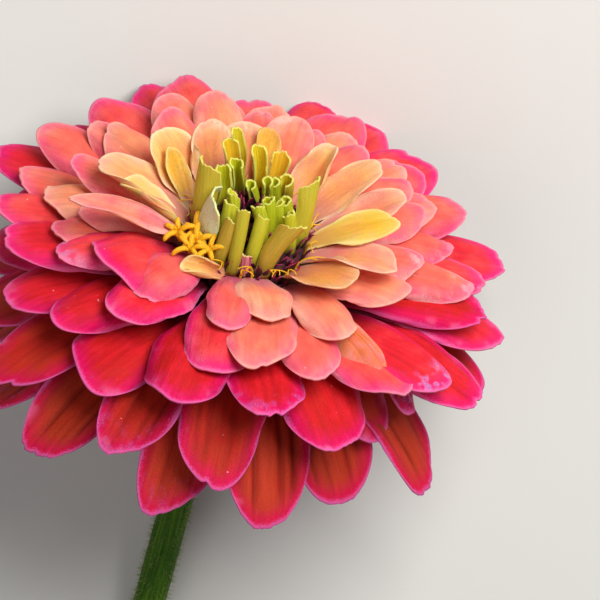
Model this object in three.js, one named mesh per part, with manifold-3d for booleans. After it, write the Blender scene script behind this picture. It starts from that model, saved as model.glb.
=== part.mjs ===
// A large double zinnia, picked with a bare length of stem and laid on a flat surface.
// Millimetres. The bloom is modelled upright in its own frame: +Z runs up its axis, and Z = 0 is where the
// innermost rays leave the receptacle. Azimuth 0 is the bloom's near side (-Y), and azimuths grow towards +X.
// Last, the whole flower is laid down, so that its stem's end and the ray tips of its far side rest on the
// surface.
import * as THREE from "three";
import { mergeVertices } from "three/addons/utils/BufferGeometryUtils.js";
import Module from "manifold-3d";

const wasm = await Module();
wasm.setup();

// Driving dimensions
const NODE_GAP = 0.3; // between two pieces that meet
const RAY_THICKNESS = 0.7;
const QUILL_THICKNESS = 0.6;
const BRACT_THICKNESS = 0.9;
const STEM_RADIUS = 3;
const STEM_STRAIGHT_Z = -50; // the stem runs straight down the bloom's axis to this height
const STEM_BEND_LENGTH = 70; // then bends until it lies along the surface
const STEM_END_LENGTH = 12; // and ends in a straight piece that rests there
const NECK_RADIUS = 3.5; // the stem swells a little where it enters the cup of bracts
const NECK_Z = -31;
const SHOULDER = [[5, -27], [8, -22]]; // [radius, height] of the swelling from the neck to the receptacle
const RECEPTACLE_RADIUS = 9.5; // the fleshy core that the head grows on
const RECEPTACLE_FOOT = [8.5, -18];
const RECEPTACLE_FULL_Z = -8; // from here up it has its full radius
const RECEPTACLE_BASE_Z = -20; // the lowest rays leave just above this height
const SEED_RING_RADIUS = 13.2; // the packed seeds round the core, which carry the rays
const ROOT_RADIUS = 10.7; // where a ray's claw starts, inside the ring of seeds
const COLOUR_CHANGE_Z = -9.7; // crimson rays leave the ring below this height, coral ones above
const DISC_RADIUS = 12.8;
const DISC_RIM_Z = 1.4;
const DISC_SLOPE = 0.5; // the disc rises this much from its rim to the quilled rays
const DISC_CROWN_Z = 4.2;
const QUILL_RING = [4.2, 11.4]; // inner and outer radius of the ring that carries the quilled rays
const QUILL_RING_Z = [1.5, 2.8];

// How the flower lies: the tilt of its axis above the surface, and the place of the bloom's origin
const REST_TILT_DEG = 31;
const REST_ORIGIN = [-0.95, 50.47, 46.88];

// Facets round the solids of revolution
const STEM_SIDES = 16;
const SEED_RING_SIDES = 18;
const SEAM_SIDES = 32;
const QUILL_RING_SIDES = 20;
const DISC_SIDES = 16;

const DEG = Math.PI / 180;

// A ray's outline: a claw of this part of its width, which widens over this part of its length, and a rounded
// end, whose corners stand this part of the length behind its middle
const CLAW_WIDTH = 0.42;
const CLAW_LENGTH = 0.6;
const TIP_ROUNDING = 0.2;
const QUILL_CLAW_WIDTH = 0.6;
const QUILL_TIP_ROUNDING = 0.06;

// How much the rays of one row differ, from the least to the most
const REACH_SPREAD = 0.04; // of the reach
const WIDTH_SPREAD = 0.12; // of the width
const HEIGHT_SPREAD = 1.4;
const TWIST_SPREAD_DEG = 12;
const SWAY_SPREAD = 2.4;
const OVERLAP_STEP = 0.45; // every second ray of a row stands this much higher, and the others this much lower

// The surface that the flower lies on pushes the low rays of its far side up. A ray whose tip would hang lower
// in the bloom than HANGING_Z loses PUSHED_PART of the rest at azimuth 180, and less of it further round.
const HANGING_Z = -10;
const PUSHED_PART = 0.72;

// Each row of rays, outermost first. height is that of the tips, root the height at ROOT_RADIUS, rise the angle
// in degrees at which the rays leave the seeds, and curl the curvature of their section in 1/mm, positive with
// the edges up. nearLift raises the roots of the near side. rays holds each one's azimuth in degrees and the
// radius of its tip, then its width, height and curl where they aren't the row's, and how far its tip sweeps to
// the side. along holds the places of a short row's facets.
const CRIMSON_ROWS = [
  {
    height: -33, root: -18.2, rise: 18, width: 15.5, curl: 0.03,
    rays: [
      [-76, 46], [-55, 47], [-34, 46, 17], [-3, 43, 13.5], [24.5, 45.2, 17.5], [49, 40.5, 18], [68, 48.5, 13.5],
      [96, 46], [119, 46],
      [143, 49], [168, 46.5], [192, 45.5], [217, 48], [241, 46], [263, 46],
    ],
  },
  {
    height: -22, root: -16, rise: 26, width: 15.5, curl: 0.02,
    rays: [
      [-69, 48], [-50, 49], [-16, 44.5, 15.5], [8.5, 45, 18], [60, 40], [87, 49], [111, 49], [135, 48], [158, 50],
      [180, 46], [203, 50], [226, 48], [249, 48], [271, 48],
    ],
  },
  {
    height: -11, root: -13.8, rise: 30, width: 15, curl: -0.02,
    rays: [
      [-63, 46], [-30, 42.5, 17], [40, 44.8, 18], [73, 51.5, 15, -8.5], [95, 51], [117, 54], [145, 51, 15, -9.5],
      [163, 53, 15, -9], [175, 52.5, 15, -9.5], [210.5, 53], [231, 50], [253, 51.4], [279, 46],
    ],
  },
  {
    height: -4, root: -11.6, rise: 33, width: 14.5, curl: -0.04,
    rays: [
      [-71, 45.5], [-47, 42.5], [-7, 41.5, 17], [19, 42, 17], [54.5, 43.3, 15.5], [63, 47], [92, 46], [105, 45],
      [130, 49], [144, 46], [165, 46.8], [188, 45], [206, 47, 16.5], [227, 46.5, 16], [247, 46.8],
      [262, 45.4, 14.5, -3], [-84.5, 47.5],
    ],
  },
];
const CORAL_ROWS = [
  {
    height: 0, root: -8, nearLift: 2.5, rise: 36, width: 12.5, curl: -0.05,
    rays: [
      [-86, 38], [-72, 36.5, 10.5], [-34, 35, 15], [1, 35.3, 15.5], [17.5, 35.2, 15], [36, 36.5, 13.5],
      [54, 36, 7, -2.5, 0.2], [97, 42.5], [112, 41], [126, 38], [141, 39.5], [161, 40], [182, 38], [198, 39.5],
      [215, 39], [240, 40], [-62, 36.5, 11],
    ],
  },
  {
    height: 4, root: -5.4, nearLift: 2.2, rise: 38, width: 11, curl: -0.04,
    rays: [
      [-78, 31, 8.5], [-51, 31, 17], [-36, 28.5, 11.5, 2.5], [1, 27.5], [18, 24.8], [48, 31.2, 11, 5], [74, 32, 13.5],
      [92, 32], [118, 34], [134, 36], [148, 33], [168, 33], [187, 33], [201, 35], [222, 31], [241, 35.5, 13],
      [266, 35],
    ],
  },
  {
    height: 9, root: -3.5, rise: 40, width: 9, curl: 0.05, along: [0, 0.5, 1],
    rays: [
      [-86, 29.5, 12.5, 6.5, 0.08], [-65, 36, 6.5, 8, 0.14], [-20, 20, 7, 3.5, 0.3, -4], [55, 25.2, 12, 8],
      [78, 28], [96, 25.5, 9, 11, 0.12], [109, 29, 9, 8], [132, 27, 9, 10], [149, 23, 9, 9, 0.15], [161, 25],
      [178, 24, 8], [197, 22.5, 8], [222, 21.5, 12], [252, 19, 5.5, 10.5, 0.42], [245, 25, 12],
      [-78, 25, 6.5, 10, 0.3],
    ],
  },
];
const LONGEST_ROW = 40; // more rays than any row has, so that each ray gets draws of its own
const RAY_ALONG = [0, 0.35, 0.7, 1]; // places of a ray's facets, from root to tip
const RAY_ACROSS = [-1, -0.45, 0.45, 1]; // and from one edge to the other
const QUILL_ALONG = [0, 0.5, 1];
const QUILL_ACROSS = [-1, -0.5, 0, 0.5, 1];

// The surface of revolution, as [radius, height], that runs between the crimson and the coral rays
const COLOUR_SEAM = [
  [0, COLOUR_CHANGE_Z], [SEED_RING_RADIUS, COLOUR_CHANGE_Z + 0.4], [18, -5.7], [24, -3.7], [30, -2.6],
  [38, -2.2], [46, -2.5], [60, -3],
];
const SEAM_REACH = 60; // the cutting solids of the seam run this far up and down

// Quilled young rays: azimuth, foot radius, height, how far the top leans out and to the side, the width of the
// flat blade, and how far round it rolls where that is less than most
const QUILLS = [
  { at: -74, foot: 10.2, height: 11, lean: 0.2, aside: -3.6, width: 7.5, roll: 3.2 },
  { at: -58, foot: 10.2, height: 8.6, lean: -1, aside: -0.4, width: 9.5, roll: 2.2 },
  { at: -19, foot: 10.5, height: 8.6, lean: -0.4, aside: -0.2, width: 7 },
  { at: -3, foot: 10.8, height: 11.3, lean: -1.6, aside: -0.9, width: 6 },
  { at: 26, foot: 10.8, height: 9.8, lean: 0.1, aside: 4.1, width: 7.2 },
  { at: 64, foot: 9.6, height: 8, lean: -2, aside: 0.4, width: 5.2 },
  { at: 86, foot: 10.2, height: 10.8, lean: -1.4, aside: 4.7, width: 8.5, roll: 3.4 },
  { at: 144, foot: 9.6, height: 8.2, lean: -1.2, aside: -0.2, width: 5.5 },
  { at: 168, foot: 10.8, height: 9, lean: 1.3, aside: 0.4, width: 6, roll: 3.2 },
  { at: 205, foot: 10.7, height: 13.5, lean: 0.9, aside: 3, width: 3.6, roll: 3 },
  { at: 216, foot: 9.8, height: 11.5, lean: 1.2, aside: 3, width: 5, roll: 3.6 },
  { at: -112, foot: 7.4, height: 9.4, lean: 1.5, width: 5.5 },
  { at: -145, foot: 7.6, height: 9.7, lean: 0.7, aside: 1.4, width: 6 },
  { at: -38, foot: 6, height: 8.7, lean: -0.5, aside: -2.8, width: 5 },
  { at: -25, foot: 9.6, height: 9.4, lean: -2, aside: -1.8, width: 5.6 },
  { at: 8, foot: 10, height: 9.3, lean: -2.6, aside: 0.3, width: 5.4 },
  { at: 26, foot: 7.6, height: 9.9, lean: -2.2, aside: -1.8, width: 5.6 },
  { at: 57, foot: 6, height: 9.4, lean: -2, aside: 0.2, width: 7 },
  { at: 72, foot: 6.2, height: 8, lean: -1.2, aside: 1.1, width: 4.8 },
  { at: 100, foot: 7.3, height: 8.4, lean: -1.5, aside: -0.2, width: 5.6 },
  { at: 150, foot: 7.6, height: 7.4, lean: -1, aside: 0.5, width: 4.6 },
  { at: 161, foot: 6.2, height: 8, lean: -0.8, aside: 1.1, width: 4.6 },
  { at: 183, foot: 7.7, height: 11.8, lean: 0.2, aside: 2.7, width: 6.2 },
  { at: 184, foot: 5.6, height: 7.4, lean: -1.1, aside: 1.5, width: 4.6 },
];
const QUILL_ROLL = 5; // how far round a quill rolls, in radians
const QUILL_RISE_DEG = 88; // they leave the disc almost upright

// Open disc florets: azimuth and foot radius
const FLORETS = [[-60, 12.1], [-51, 12.3], [-43, 12.1], [-34, 12.3], [-26, 12.3]];
const FLORET_FOOT_Z = 0.8;
const FLORET_HEIGHT = 5;
const FLORET_TUBE_RADIUS = 0.6;
const FLORET_FLARE = 1.2; // the height over which the tube opens into the lobes
const FLORET_RIM = 0.5; // the lobes' thickness at the rim
const FLORET_THROAT = 0.4; // the middle lies this much lower than the rim
const FLORET_REACH = 2.7; // from the tube's axis to the tip of a lobe
const FLORET_LOBES = 5;
const FLORET_NOTCH = 0.4; // between two lobes the rim is this part of the reach
const FLORET_TILT_DEG = 14; // outwards

// Dark scales of chaff that stand on the disc, round its edge and on its crown
const CHAFF_HEIGHT = 3.6;
const CHAFF_RADIUS = 0.5;
const EDGE_SCALES = 16;
const EDGE_SCALE_INSET = 0.56;
const EDGE_SCALE_FOOT_Z = 0.8;
const CROWN_SCALES = 5;
const CROWN_SCALE_DEPTH = 1.4; // how far their feet stand in the crown
const CROWN_SCALE_FIRST = 0.4; // radius of the first scale of the spiral, and how much each next one adds
const CROWN_SCALE_STEP = 0.45;
const GOLDEN_ANGLE_DEG = 137.5;

// Tiers of bracts, lowest first: the [radius, height] of the lip's outer edge, and of the place behind it where
// the next tier starts
const BRACT_CLEARANCE = 0.4; // the cup's inside keeps this far from the stem
const BRACT_FOOT_Z = NECK_Z - 0.6;
const BRACT_FOOT_RADIUS = 5.6;
const BRACT_TIERS = [
  { lip: [10.6, -30.2], behind: [9.2, -29.75] },
  { lip: [13.9, -26.2], behind: [12.2, -26.2] },
  { lip: [14.5, -20.8], behind: [13.45, -21.3] },
];
const BRACTS_PER_TIER = 11;
const BRACT_SIDES = 4; // faces round each bract
const BRACT_WAVE = 0.6; // how far the middle of a bract stands out past the mean of its lip

// A repeatable number from 0 to 1 for the i-th draw of a piece
function draw(piece, i) {
  const x = Math.sin(piece * 12.9898 + i * 78.233) * 43758.5453;
  return x - Math.floor(x);
}

function smooth(x) {
  const t = Math.min(1, Math.max(0, x));
  return t * t * (3 - 2 * t);
}

function outwards(azimuth) {
  return new THREE.Vector3(Math.sin(azimuth * DEG), -Math.cos(azimuth * DEG), 0);
}

function sideways(azimuth) {
  return new THREE.Vector3(Math.cos(azimuth * DEG), Math.sin(azimuth * DEG), 0);
}

function solidOf(geometry) {
  const bare = geometry.clone();
  bare.deleteAttribute("normal");
  bare.deleteAttribute("uv");
  const merged = mergeVertices(bare, 1e-4);
  return new wasm.Manifold(new wasm.Mesh({
    numProp: 3,
    vertProperties: new Float32Array(merged.attributes.position.array),
    triVerts: new Uint32Array(merged.index.array),
  }));
}

function joined(geometries) {
  return wasm.Manifold.union(geometries.map(solidOf));
}

// The largest body of a solid: loose scraps and the skins of sealed hollows are left out
function oneBody(solid) {
  return solid.decompose().reduce((most, body) => (body.volume() > most.volume() ? body : most));
}

function geometryOf(solid) {
  const { vertProperties, triVerts } = solid.getMesh();
  const indexed = new THREE.BufferGeometry();
  indexed.setAttribute("position", new THREE.BufferAttribute(new Float32Array(vertProperties), 3));
  indexed.setIndex(new THREE.BufferAttribute(new Uint32Array(triVerts), 1));
  const geometry = indexed.toNonIndexed();
  geometry.computeVertexNormals();
  return geometry;
}

// A solid of revolution about Z. The [radius, height] points run up its outside, from axis to axis or in a closed
// loop.
function turned(points, sides) {
  const profile = points.map(([r, z]) => new THREE.Vector2(r, z));
  return new THREE.LatheGeometry(profile, sides).rotateX(Math.PI / 2);
}

// A ring about Z with a rectangular section
function ring([inner, outer], [low, high], sides) {
  return turned([[inner, low], [outer, low], [outer, high], [inner, high], [inner, low]], sides);
}

// A closed thin blade about surface(a, b), which gives a point and a normal. a runs from root to tip and b across.
function blade(surface, along, across, thickness) {
  const top = [];
  const bottom = [];
  for (const a of along) {
    for (const b of across) {
      const { point, normal } = surface(a, b);
      top.push(point.clone().addScaledVector(normal, thickness / 2));
      bottom.push(point.clone().addScaledVector(normal, -thickness / 2));
    }
  }
  const m = across.length;
  const under = top.length;
  const last = under - m;
  const index = [];
  const quad = (i, j, k, l) => index.push(i, j, k, i, k, l);
  for (let i = 0; i + 1 < along.length; i++) {
    for (let j = 0; j + 1 < m; j++) {
      const p = i * m + j;
      index.push(p, p + m, p + m + 1, p, p + m + 1, p + 1);
      index.push(p + under, p + m + 1 + under, p + m + under, p + under, p + 1 + under, p + m + 1 + under);
    }
    const left = i * m;
    const right = left + m - 1;
    quad(left + m, left, left + under, left + m + under);
    quad(right, right + m, right + m + under, right + under);
  }
  for (let j = 0; j + 1 < m; j++) {
    quad(j, j + 1, j + 1 + under, j + under);
    quad(last + j + 1, last + j, last + j + under, last + j + 1 + under);
  }
  const geometry = new THREE.BufferGeometry();
  const numbers = [...top, ...bottom].flatMap((p) => [p.x, p.y, p.z]);
  geometry.setAttribute("position", new THREE.Float32BufferAttribute(numbers, 3));
  return geometry.setIndex(index);
}

// A ray's surface. Its midrib is a quadratic curve in a plane through the bloom's axis, from root to tip. Across
// it the section is an arc of the given curl. twist turns the tip about the midrib, in degrees, and sway moves it
// aside.
function ray({ azimuth, root, tip, rise, width, curl, claw, rounding, twist = 0, sway = 0 }) {
  const length = Math.hypot(tip[0] - root[0], tip[1] - root[1]);
  const half = length / 2;
  const knee = [root[0] + half * Math.cos(rise * DEG), root[1] + half * Math.sin(rise * DEG)];
  const out = outwards(azimuth);
  const side = sideways(azimuth);
  return (along, b) => {
    const a = along * (1 - rounding * (1 - Math.sqrt(1 - b * b)));
    const [r, z] = [0, 1].map((k) => (1 - a) ** 2 * root[k] + 2 * a * (1 - a) * knee[k] + a * a * tip[k]);
    const slope = [0, 1].map((k) => (1 - a) * (knee[k] - root[k]) + a * (tip[k] - knee[k]));
    const speed = Math.hypot(...slope);
    const up = out.clone().multiplyScalar(-slope[1] / speed).setZ(slope[0] / speed);
    const turn = twist * DEG * a;
    const tiltedSide = side.clone().multiplyScalar(Math.cos(turn)).addScaledVector(up, Math.sin(turn));
    const tiltedUp = up.clone().multiplyScalar(Math.cos(turn)).addScaledVector(side, -Math.sin(turn));
    const angle = curl * b * (width / 2) * (claw + (1 - claw) * smooth(a / CLAW_LENGTH));
    const point = out.clone().multiplyScalar(r).setZ(z)
      .addScaledVector(side, sway * a * a)
      .addScaledVector(tiltedSide, Math.sin(angle) / curl)
      .addScaledVector(tiltedUp, (1 - Math.cos(angle)) / curl);
    const normal = tiltedUp.multiplyScalar(Math.cos(angle)).addScaledVector(tiltedSide, -Math.sin(angle));
    return { point, normal };
  };
}

// A number from -range / 2 to range / 2
function spread(range, piece, i) {
  return range * (draw(piece, i) - 0.5);
}

function rayOfRow(row, rowNumber, entry, i) {
  const [azimuth, reach, width = row.width, height = row.height, curl = row.curl, aside = 0] = entry;
  const piece = rowNumber * LONGEST_ROW + i;
  const far = (1 - Math.cos(azimuth * DEG)) / 2;
  const pushedUp = Math.max(0, HANGING_Z - height) * PUSHED_PART * far ** 3;
  const step = i % 2 === 0 ? OVERLAP_STEP : -OVERLAP_STEP;
  return ray({
    azimuth,
    root: [ROOT_RADIUS, row.root + step + (row.nearLift ?? 0) * (1 - far) ** 4],
    tip: [
      reach * (1 + spread(REACH_SPREAD, piece, 1)),
      height + pushedUp + step + spread(HEIGHT_SPREAD, piece, 2),
    ],
    rise: row.rise,
    width: width * (1 + spread(WIDTH_SPREAD, piece, 3)),
    curl,
    claw: CLAW_WIDTH,
    rounding: TIP_ROUNDING,
    twist: spread(TWIST_SPREAD_DEG, piece, 4),
    sway: aside + spread(SWAY_SPREAD, piece, 5),
  });
}

function rays(rows, firstRow) {
  return rows.flatMap((row, k) =>
    row.rays.map((entry, i) =>
      blade(rayOfRow(row, firstRow + k, entry, i), row.along ?? RAY_ALONG, RAY_ACROSS, RAY_THICKNESS)));
}

// The seeds packed round the receptacle between two heights, as one ring
function seeds(low, high) {
  return ring([RECEPTACLE_RADIUS + NODE_GAP, SEED_RING_RADIUS], [low, high], SEED_RING_SIDES);
}

// Everything above or below the seam between the two colours, with half the gap left free
function sideOfSeam(up) {
  const shift = up ? -NODE_GAP / 2 : NODE_GAP / 2;
  const seam = COLOUR_SEAM.map(([r, z]) => [r, z + shift]);
  const end = up ? SEAM_REACH : -SEAM_REACH;
  const profile = [...seam, [seam.at(-1)[0], end], [0, end]];
  return solidOf(turned(up ? profile : profile.reverse(), SEAM_SIDES));
}

function crimsonRays() {
  const carrier = seeds(RECEPTACLE_BASE_Z + NODE_GAP, COLOUR_CHANGE_Z - NODE_GAP / 2);
  return joined([carrier, ...rays(CRIMSON_ROWS, 0)]).subtract(sideOfSeam(true));
}

function coralRays() {
  const carrier = seeds(COLOUR_CHANGE_Z + NODE_GAP / 2, -NODE_GAP);
  return joined([carrier, ...rays(CORAL_ROWS, CRIMSON_ROWS.length)]).subtract(sideOfSeam(false));
}

// Where a point of the straight stem comes to lie: below STEM_STRAIGHT_Z the stem follows an arc towards the
// near side, until it has turned by the rest tilt and lies level
function bent(point) {
  const down = STEM_STRAIGHT_Z - point.z;
  if (down <= 0) {
    return point;
  }
  const radius = STEM_BEND_LENGTH / (REST_TILT_DEG * DEG);
  const turn = Math.min(down, STEM_BEND_LENGTH) / radius;
  const past = Math.max(0, down - STEM_BEND_LENGTH);
  const y = -radius * (1 - Math.cos(turn)) - past * Math.sin(turn) + point.y * Math.cos(turn);
  const z = STEM_STRAIGHT_Z - radius * Math.sin(turn) - past * Math.cos(turn) - point.y * Math.sin(turn);
  return new THREE.Vector3(point.x, y, z);
}

// The stem and the receptacle on top of it are one growth
function stem() {
  const end = STEM_STRAIGHT_Z - STEM_BEND_LENGTH - STEM_END_LENGTH;
  const bends = [1, 0.8, 0.6, 0.4, 0.2, 0].map((part) => STEM_STRAIGHT_Z - part * STEM_BEND_LENGTH);
  const shaft = bends.map((z) => [STEM_RADIUS, z]);
  const geometry = turned([
    [0, end], [STEM_RADIUS, end], ...shaft, [NECK_RADIUS, NECK_Z], ...SHOULDER, RECEPTACLE_FOOT,
    [RECEPTACLE_RADIUS, RECEPTACLE_FULL_Z], [RECEPTACLE_RADIUS, -NODE_GAP], [0, -NODE_GAP],
  ], STEM_SIDES);
  const position = geometry.attributes.position;
  for (let i = 0; i < position.count; i++) {
    const point = bent(new THREE.Vector3().fromBufferAttribute(position, i));
    position.setXYZ(i, point.x, point.y, point.z);
  }
  return solidOf(geometry);
}

// The cup's inside, from its upper edge down. It follows the stem's swelling.
function cupInside() {
  const top = [RECEPTACLE_FOOT[0] + BRACT_CLEARANCE, RECEPTACLE_BASE_Z - NODE_GAP / 2];
  const shoulder = SHOULDER.map(([r, z]) => [r + BRACT_CLEARANCE, z + BRACT_CLEARANCE / 2]).reverse();
  return [top, ...shoulder, [NECK_RADIUS + BRACT_CLEARANCE, NECK_Z]];
}

// The cup of bracts, in tiers. Each tier flares out to a lip that waves in and out along its slope, one wave for
// each bract, and the next tier starts behind it, half a bract further round.
function bracts() {
  const hole = [NECK_RADIUS + BRACT_CLEARANCE, BRACT_FOOT_Z];
  const profile = [{ at: hole }, { at: [BRACT_FOOT_RADIUS, BRACT_FOOT_Z] }];
  BRACT_TIERS.forEach(({ lip, behind }, tier) => {
    const foot = profile.at(-1).at;
    const length = Math.hypot(lip[0] - foot[0], lip[1] - foot[1]);
    const slope = [(lip[0] - foot[0]) / length, (lip[1] - foot[1]) / length];
    const innerEdge = [lip[0] - BRACT_THICKNESS * slope[1], lip[1] + BRACT_THICKNESS * slope[0]];
    profile.push({ at: lip, slope, tier }, { at: innerEdge, slope, tier }, { at: behind });
  });
  profile.push(...cupInside().map((at) => ({ at })), profile[0]);
  const geometry = turned(profile.map(({ at }) => at), BRACTS_PER_TIER * BRACT_SIDES);
  const position = geometry.attributes.position;
  for (let i = 0; i < position.count; i++) {
    const { at, slope = [0, 0], tier = 0 } = profile[i % profile.length];
    const turns = Math.floor(i / profile.length) / BRACT_SIDES + tier / 2;
    const wave = BRACT_WAVE * Math.cos(2 * Math.PI * turns);
    const wider = 1 + (wave * slope[0]) / at[0];
    position.setXYZ(i, position.getX(i) * wider, position.getY(i) * wider, at[1] + wave * slope[1]);
  }
  return solidOf(geometry);
}

function quill({ at, foot, height, lean, aside = 0, width, roll = QUILL_ROLL }) {
  const footZ = (QUILL_RING_Z[0] + QUILL_RING_Z[1]) / 2;
  const surface = ray({
    azimuth: at,
    root: [foot, footZ],
    tip: [foot + lean, footZ + height],
    rise: QUILL_RISE_DEG,
    width,
    curl: roll / width,
    sway: aside,
    claw: QUILL_CLAW_WIDTH,
    rounding: QUILL_TIP_ROUNDING,
  });
  return blade(surface, QUILL_ALONG, QUILL_ACROSS, QUILL_THICKNESS);
}

function quilledRays() {
  return joined([ring(QUILL_RING, QUILL_RING_Z, QUILL_RING_SIDES), ...QUILLS.map(quill)]);
}

// A floret: a slim tube that opens into a star of lobes, with every second side of its rim drawn in
function floret([azimuth, foot]) {
  const profile = [
    [0, 0], [FLORET_TUBE_RADIUS, 0], [FLORET_TUBE_RADIUS, FLORET_HEIGHT - FLORET_FLARE],
    [FLORET_REACH, FLORET_HEIGHT], [FLORET_REACH, FLORET_HEIGHT + FLORET_RIM],
    [0, FLORET_HEIGHT - FLORET_THROAT],
  ];
  const geometry = turned(profile, 2 * FLORET_LOBES);
  const position = geometry.attributes.position;
  for (let i = 0; i < position.count; i++) {
    const side = Math.floor(i / profile.length);
    if (side % 2 === 1 && profile[i % profile.length][0] === FLORET_REACH) {
      position.setXY(i, position.getX(i) * FLORET_NOTCH, position.getY(i) * FLORET_NOTCH);
    }
  }
  const place = outwards(azimuth).multiplyScalar(foot).setZ(FLORET_FOOT_Z);
  const tilt = new THREE.Matrix4().makeRotationAxis(sideways(azimuth), FLORET_TILT_DEG * DEG);
  return geometry.applyMatrix4(tilt).translate(place.x, place.y, place.z);
}

// A pointed dark scale of chaff that stands on the disc
function chaffScale(azimuth, foot, z, height) {
  const place = outwards(azimuth).multiplyScalar(foot).setZ(z + height / 2);
  return new THREE.ConeGeometry(CHAFF_RADIUS, height, 3).rotateX(Math.PI / 2).rotateZ(azimuth * DEG)
    .translate(place.x, place.y, place.z);
}

function edgeScale(i) {
  const azimuth = (i / EDGE_SCALES) * 360;
  const height = CHAFF_HEIGHT * (0.95 + spread(0.5, i, 7));
  return chaffScale(azimuth, DISC_RADIUS - EDGE_SCALE_INSET, EDGE_SCALE_FOOT_Z, height);
}

function crownScale(i) {
  const foot = CROWN_SCALE_FIRST + CROWN_SCALE_STEP * i;
  return chaffScale(i * GOLDEN_ANGLE_DEG, foot, DISC_CROWN_Z - CROWN_SCALE_DEPTH, CHAFF_HEIGHT);
}

// The disc, with a groove for the ring of the quilled rays
function disc() {
  const [inner, outer] = [QUILL_RING[0] - NODE_GAP, QUILL_RING[1] + NODE_GAP];
  const groove = QUILL_RING_Z[0] - NODE_GAP;
  const body = turned([
    [0, 0], [DISC_RADIUS, 0], [DISC_RADIUS, DISC_RIM_Z], [outer, DISC_RIM_Z + DISC_SLOPE], [outer, groove],
    [inner, groove], [inner, DISC_CROWN_Z - 1], [0, DISC_CROWN_Z],
  ], DISC_SIDES);
  const edge = Array.from({ length: EDGE_SCALES }, (_, i) => edgeScale(i));
  const crown = Array.from({ length: CROWN_SCALES }, (_, i) => crownScale(i));
  return joined([body, ...edge, ...crown, ...FLORETS.map(floret)]);
}

// Lay a solid down with the bloom, and flatten it where it rests on the surface
const laidDown = new THREE.Matrix4().makeRotationX((REST_TILT_DEG - 90) * DEG).setPosition(...REST_ORIGIN);
const BELOW_SIZE = 500;
const belowBox = new THREE.BoxGeometry(BELOW_SIZE, BELOW_SIZE, BELOW_SIZE).translate(0, 0, -BELOW_SIZE / 2);
const below = solidOf(belowBox);

function meshOf(name, solid, material) {
  const laid = geometryOf(oneBody(solid)).applyMatrix4(laidDown);
  const mesh = new THREE.Mesh(geometryOf(oneBody(solidOf(laid).subtract(below))), material);
  mesh.name = name;
  return mesh;
}

const leafGreen = new THREE.MeshStandardMaterial({ color: 0x4f7022, roughness: 0.65, metalness: 0 });
const bractGreen = new THREE.MeshStandardMaterial({ color: 0x5c7a33, roughness: 0.7, metalness: 0 });
const crimson = new THREE.MeshStandardMaterial({ color: 0xd0243f, roughness: 0.6, metalness: 0 });
const coral = new THREE.MeshStandardMaterial({ color: 0xf08766, roughness: 0.6, metalness: 0 });
const yellowGreen = new THREE.MeshStandardMaterial({ color: 0xc3c63e, roughness: 0.55, metalness: 0 });
const maroon = new THREE.MeshStandardMaterial({ color: 0x6b1f2e, roughness: 0.75, metalness: 0 });

const flower = new THREE.Group();
flower.add(
  meshOf("stem", stem(), leafGreen),
  meshOf("bracts", bracts(), bractGreen),
  meshOf("crimson_rays", crimsonRays(), crimson),
  meshOf("coral_rays", coralRays(), coral),
  meshOf("quilled_rays", quilledRays(), yellowGreen),
  meshOf("disc", disc(), maroon),
);

export default flower;
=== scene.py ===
# %% [markdown]
# # A picked zinnia, petal by petal
#
# A double zinnia is a daisy whose disc has nearly all turned into rays, as a daisy's petals are called.
# This lesson dresses a set of plain solids, the frame, with the surfaces of the real flower. Every surface
# is worked out with numpy as a function of two parameters: one runs from a ray's root to its tip, and the
# other from edge to edge.

import math

import bpy
import numpy as np
from mathutils import Matrix, Vector


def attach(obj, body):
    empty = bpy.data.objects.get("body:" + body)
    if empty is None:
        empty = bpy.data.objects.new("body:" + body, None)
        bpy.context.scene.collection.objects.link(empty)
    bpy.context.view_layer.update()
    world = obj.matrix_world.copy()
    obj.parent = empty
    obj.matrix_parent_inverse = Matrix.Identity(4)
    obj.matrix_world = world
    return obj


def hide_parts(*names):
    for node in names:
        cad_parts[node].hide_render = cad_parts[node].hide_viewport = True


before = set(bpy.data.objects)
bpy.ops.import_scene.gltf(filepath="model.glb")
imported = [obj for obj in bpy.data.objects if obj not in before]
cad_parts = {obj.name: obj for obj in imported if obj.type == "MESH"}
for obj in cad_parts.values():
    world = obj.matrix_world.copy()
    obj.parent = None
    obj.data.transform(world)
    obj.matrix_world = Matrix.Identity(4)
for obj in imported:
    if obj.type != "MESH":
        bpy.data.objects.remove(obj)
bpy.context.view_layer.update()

# %% [markdown]
# ## The bloom's own axes
#
# The flower lies on its side, so its rays are awkward to describe in the frame's axes. They are simple in
# the bloom's own axes: Z runs up its axis from the place where the innermost rays leave the head, azimuth 0
# is the near side at -Y, and azimuths grow towards +X. All shapes are worked out there in millimetres, and
# one function lays them down.

# %% How the flower lies
MM = 0.001
TILT = math.radians(31)  # of the bloom's axis above the floor
BLOOM_AT = np.array([-0.95, 50.47, 46.88])  # the bloom's origin in the frame, in mm
BLOOM_AXES = np.array([
    [1, 0, 0],
    [0, math.sin(TILT), -math.cos(TILT)],
    [0, math.cos(TILT), math.sin(TILT)],
])


def laid_down(points):
    """Points of the upright bloom to where the lying flower has them, both in mm."""
    return points @ BLOOM_AXES + BLOOM_AT


def above_floor(points, height):
    """Points lower than height are lifted to it, as the floor lifts a petal that touches it."""
    lifted = points.copy()
    lifted[..., 2] = np.maximum(lifted[..., 2], height)
    return lifted


print("the bloom's axis points along", np.round(laid_down(np.array([0, 0, 1])) - BLOOM_AT, 2).tolist())

# %% [markdown]
# ## The camera
#
# The photograph looks down on the bloom at 42 degrees above the plane of its rim, and is rolled a little,
# so that the stem leaves by the lower left. The flower lies on the floor, so the same view now looks almost
# straight down. The long lens stands 1.2 m away, as a macro lens would, which keeps the far petals nearly
# as large as the near ones.

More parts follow.
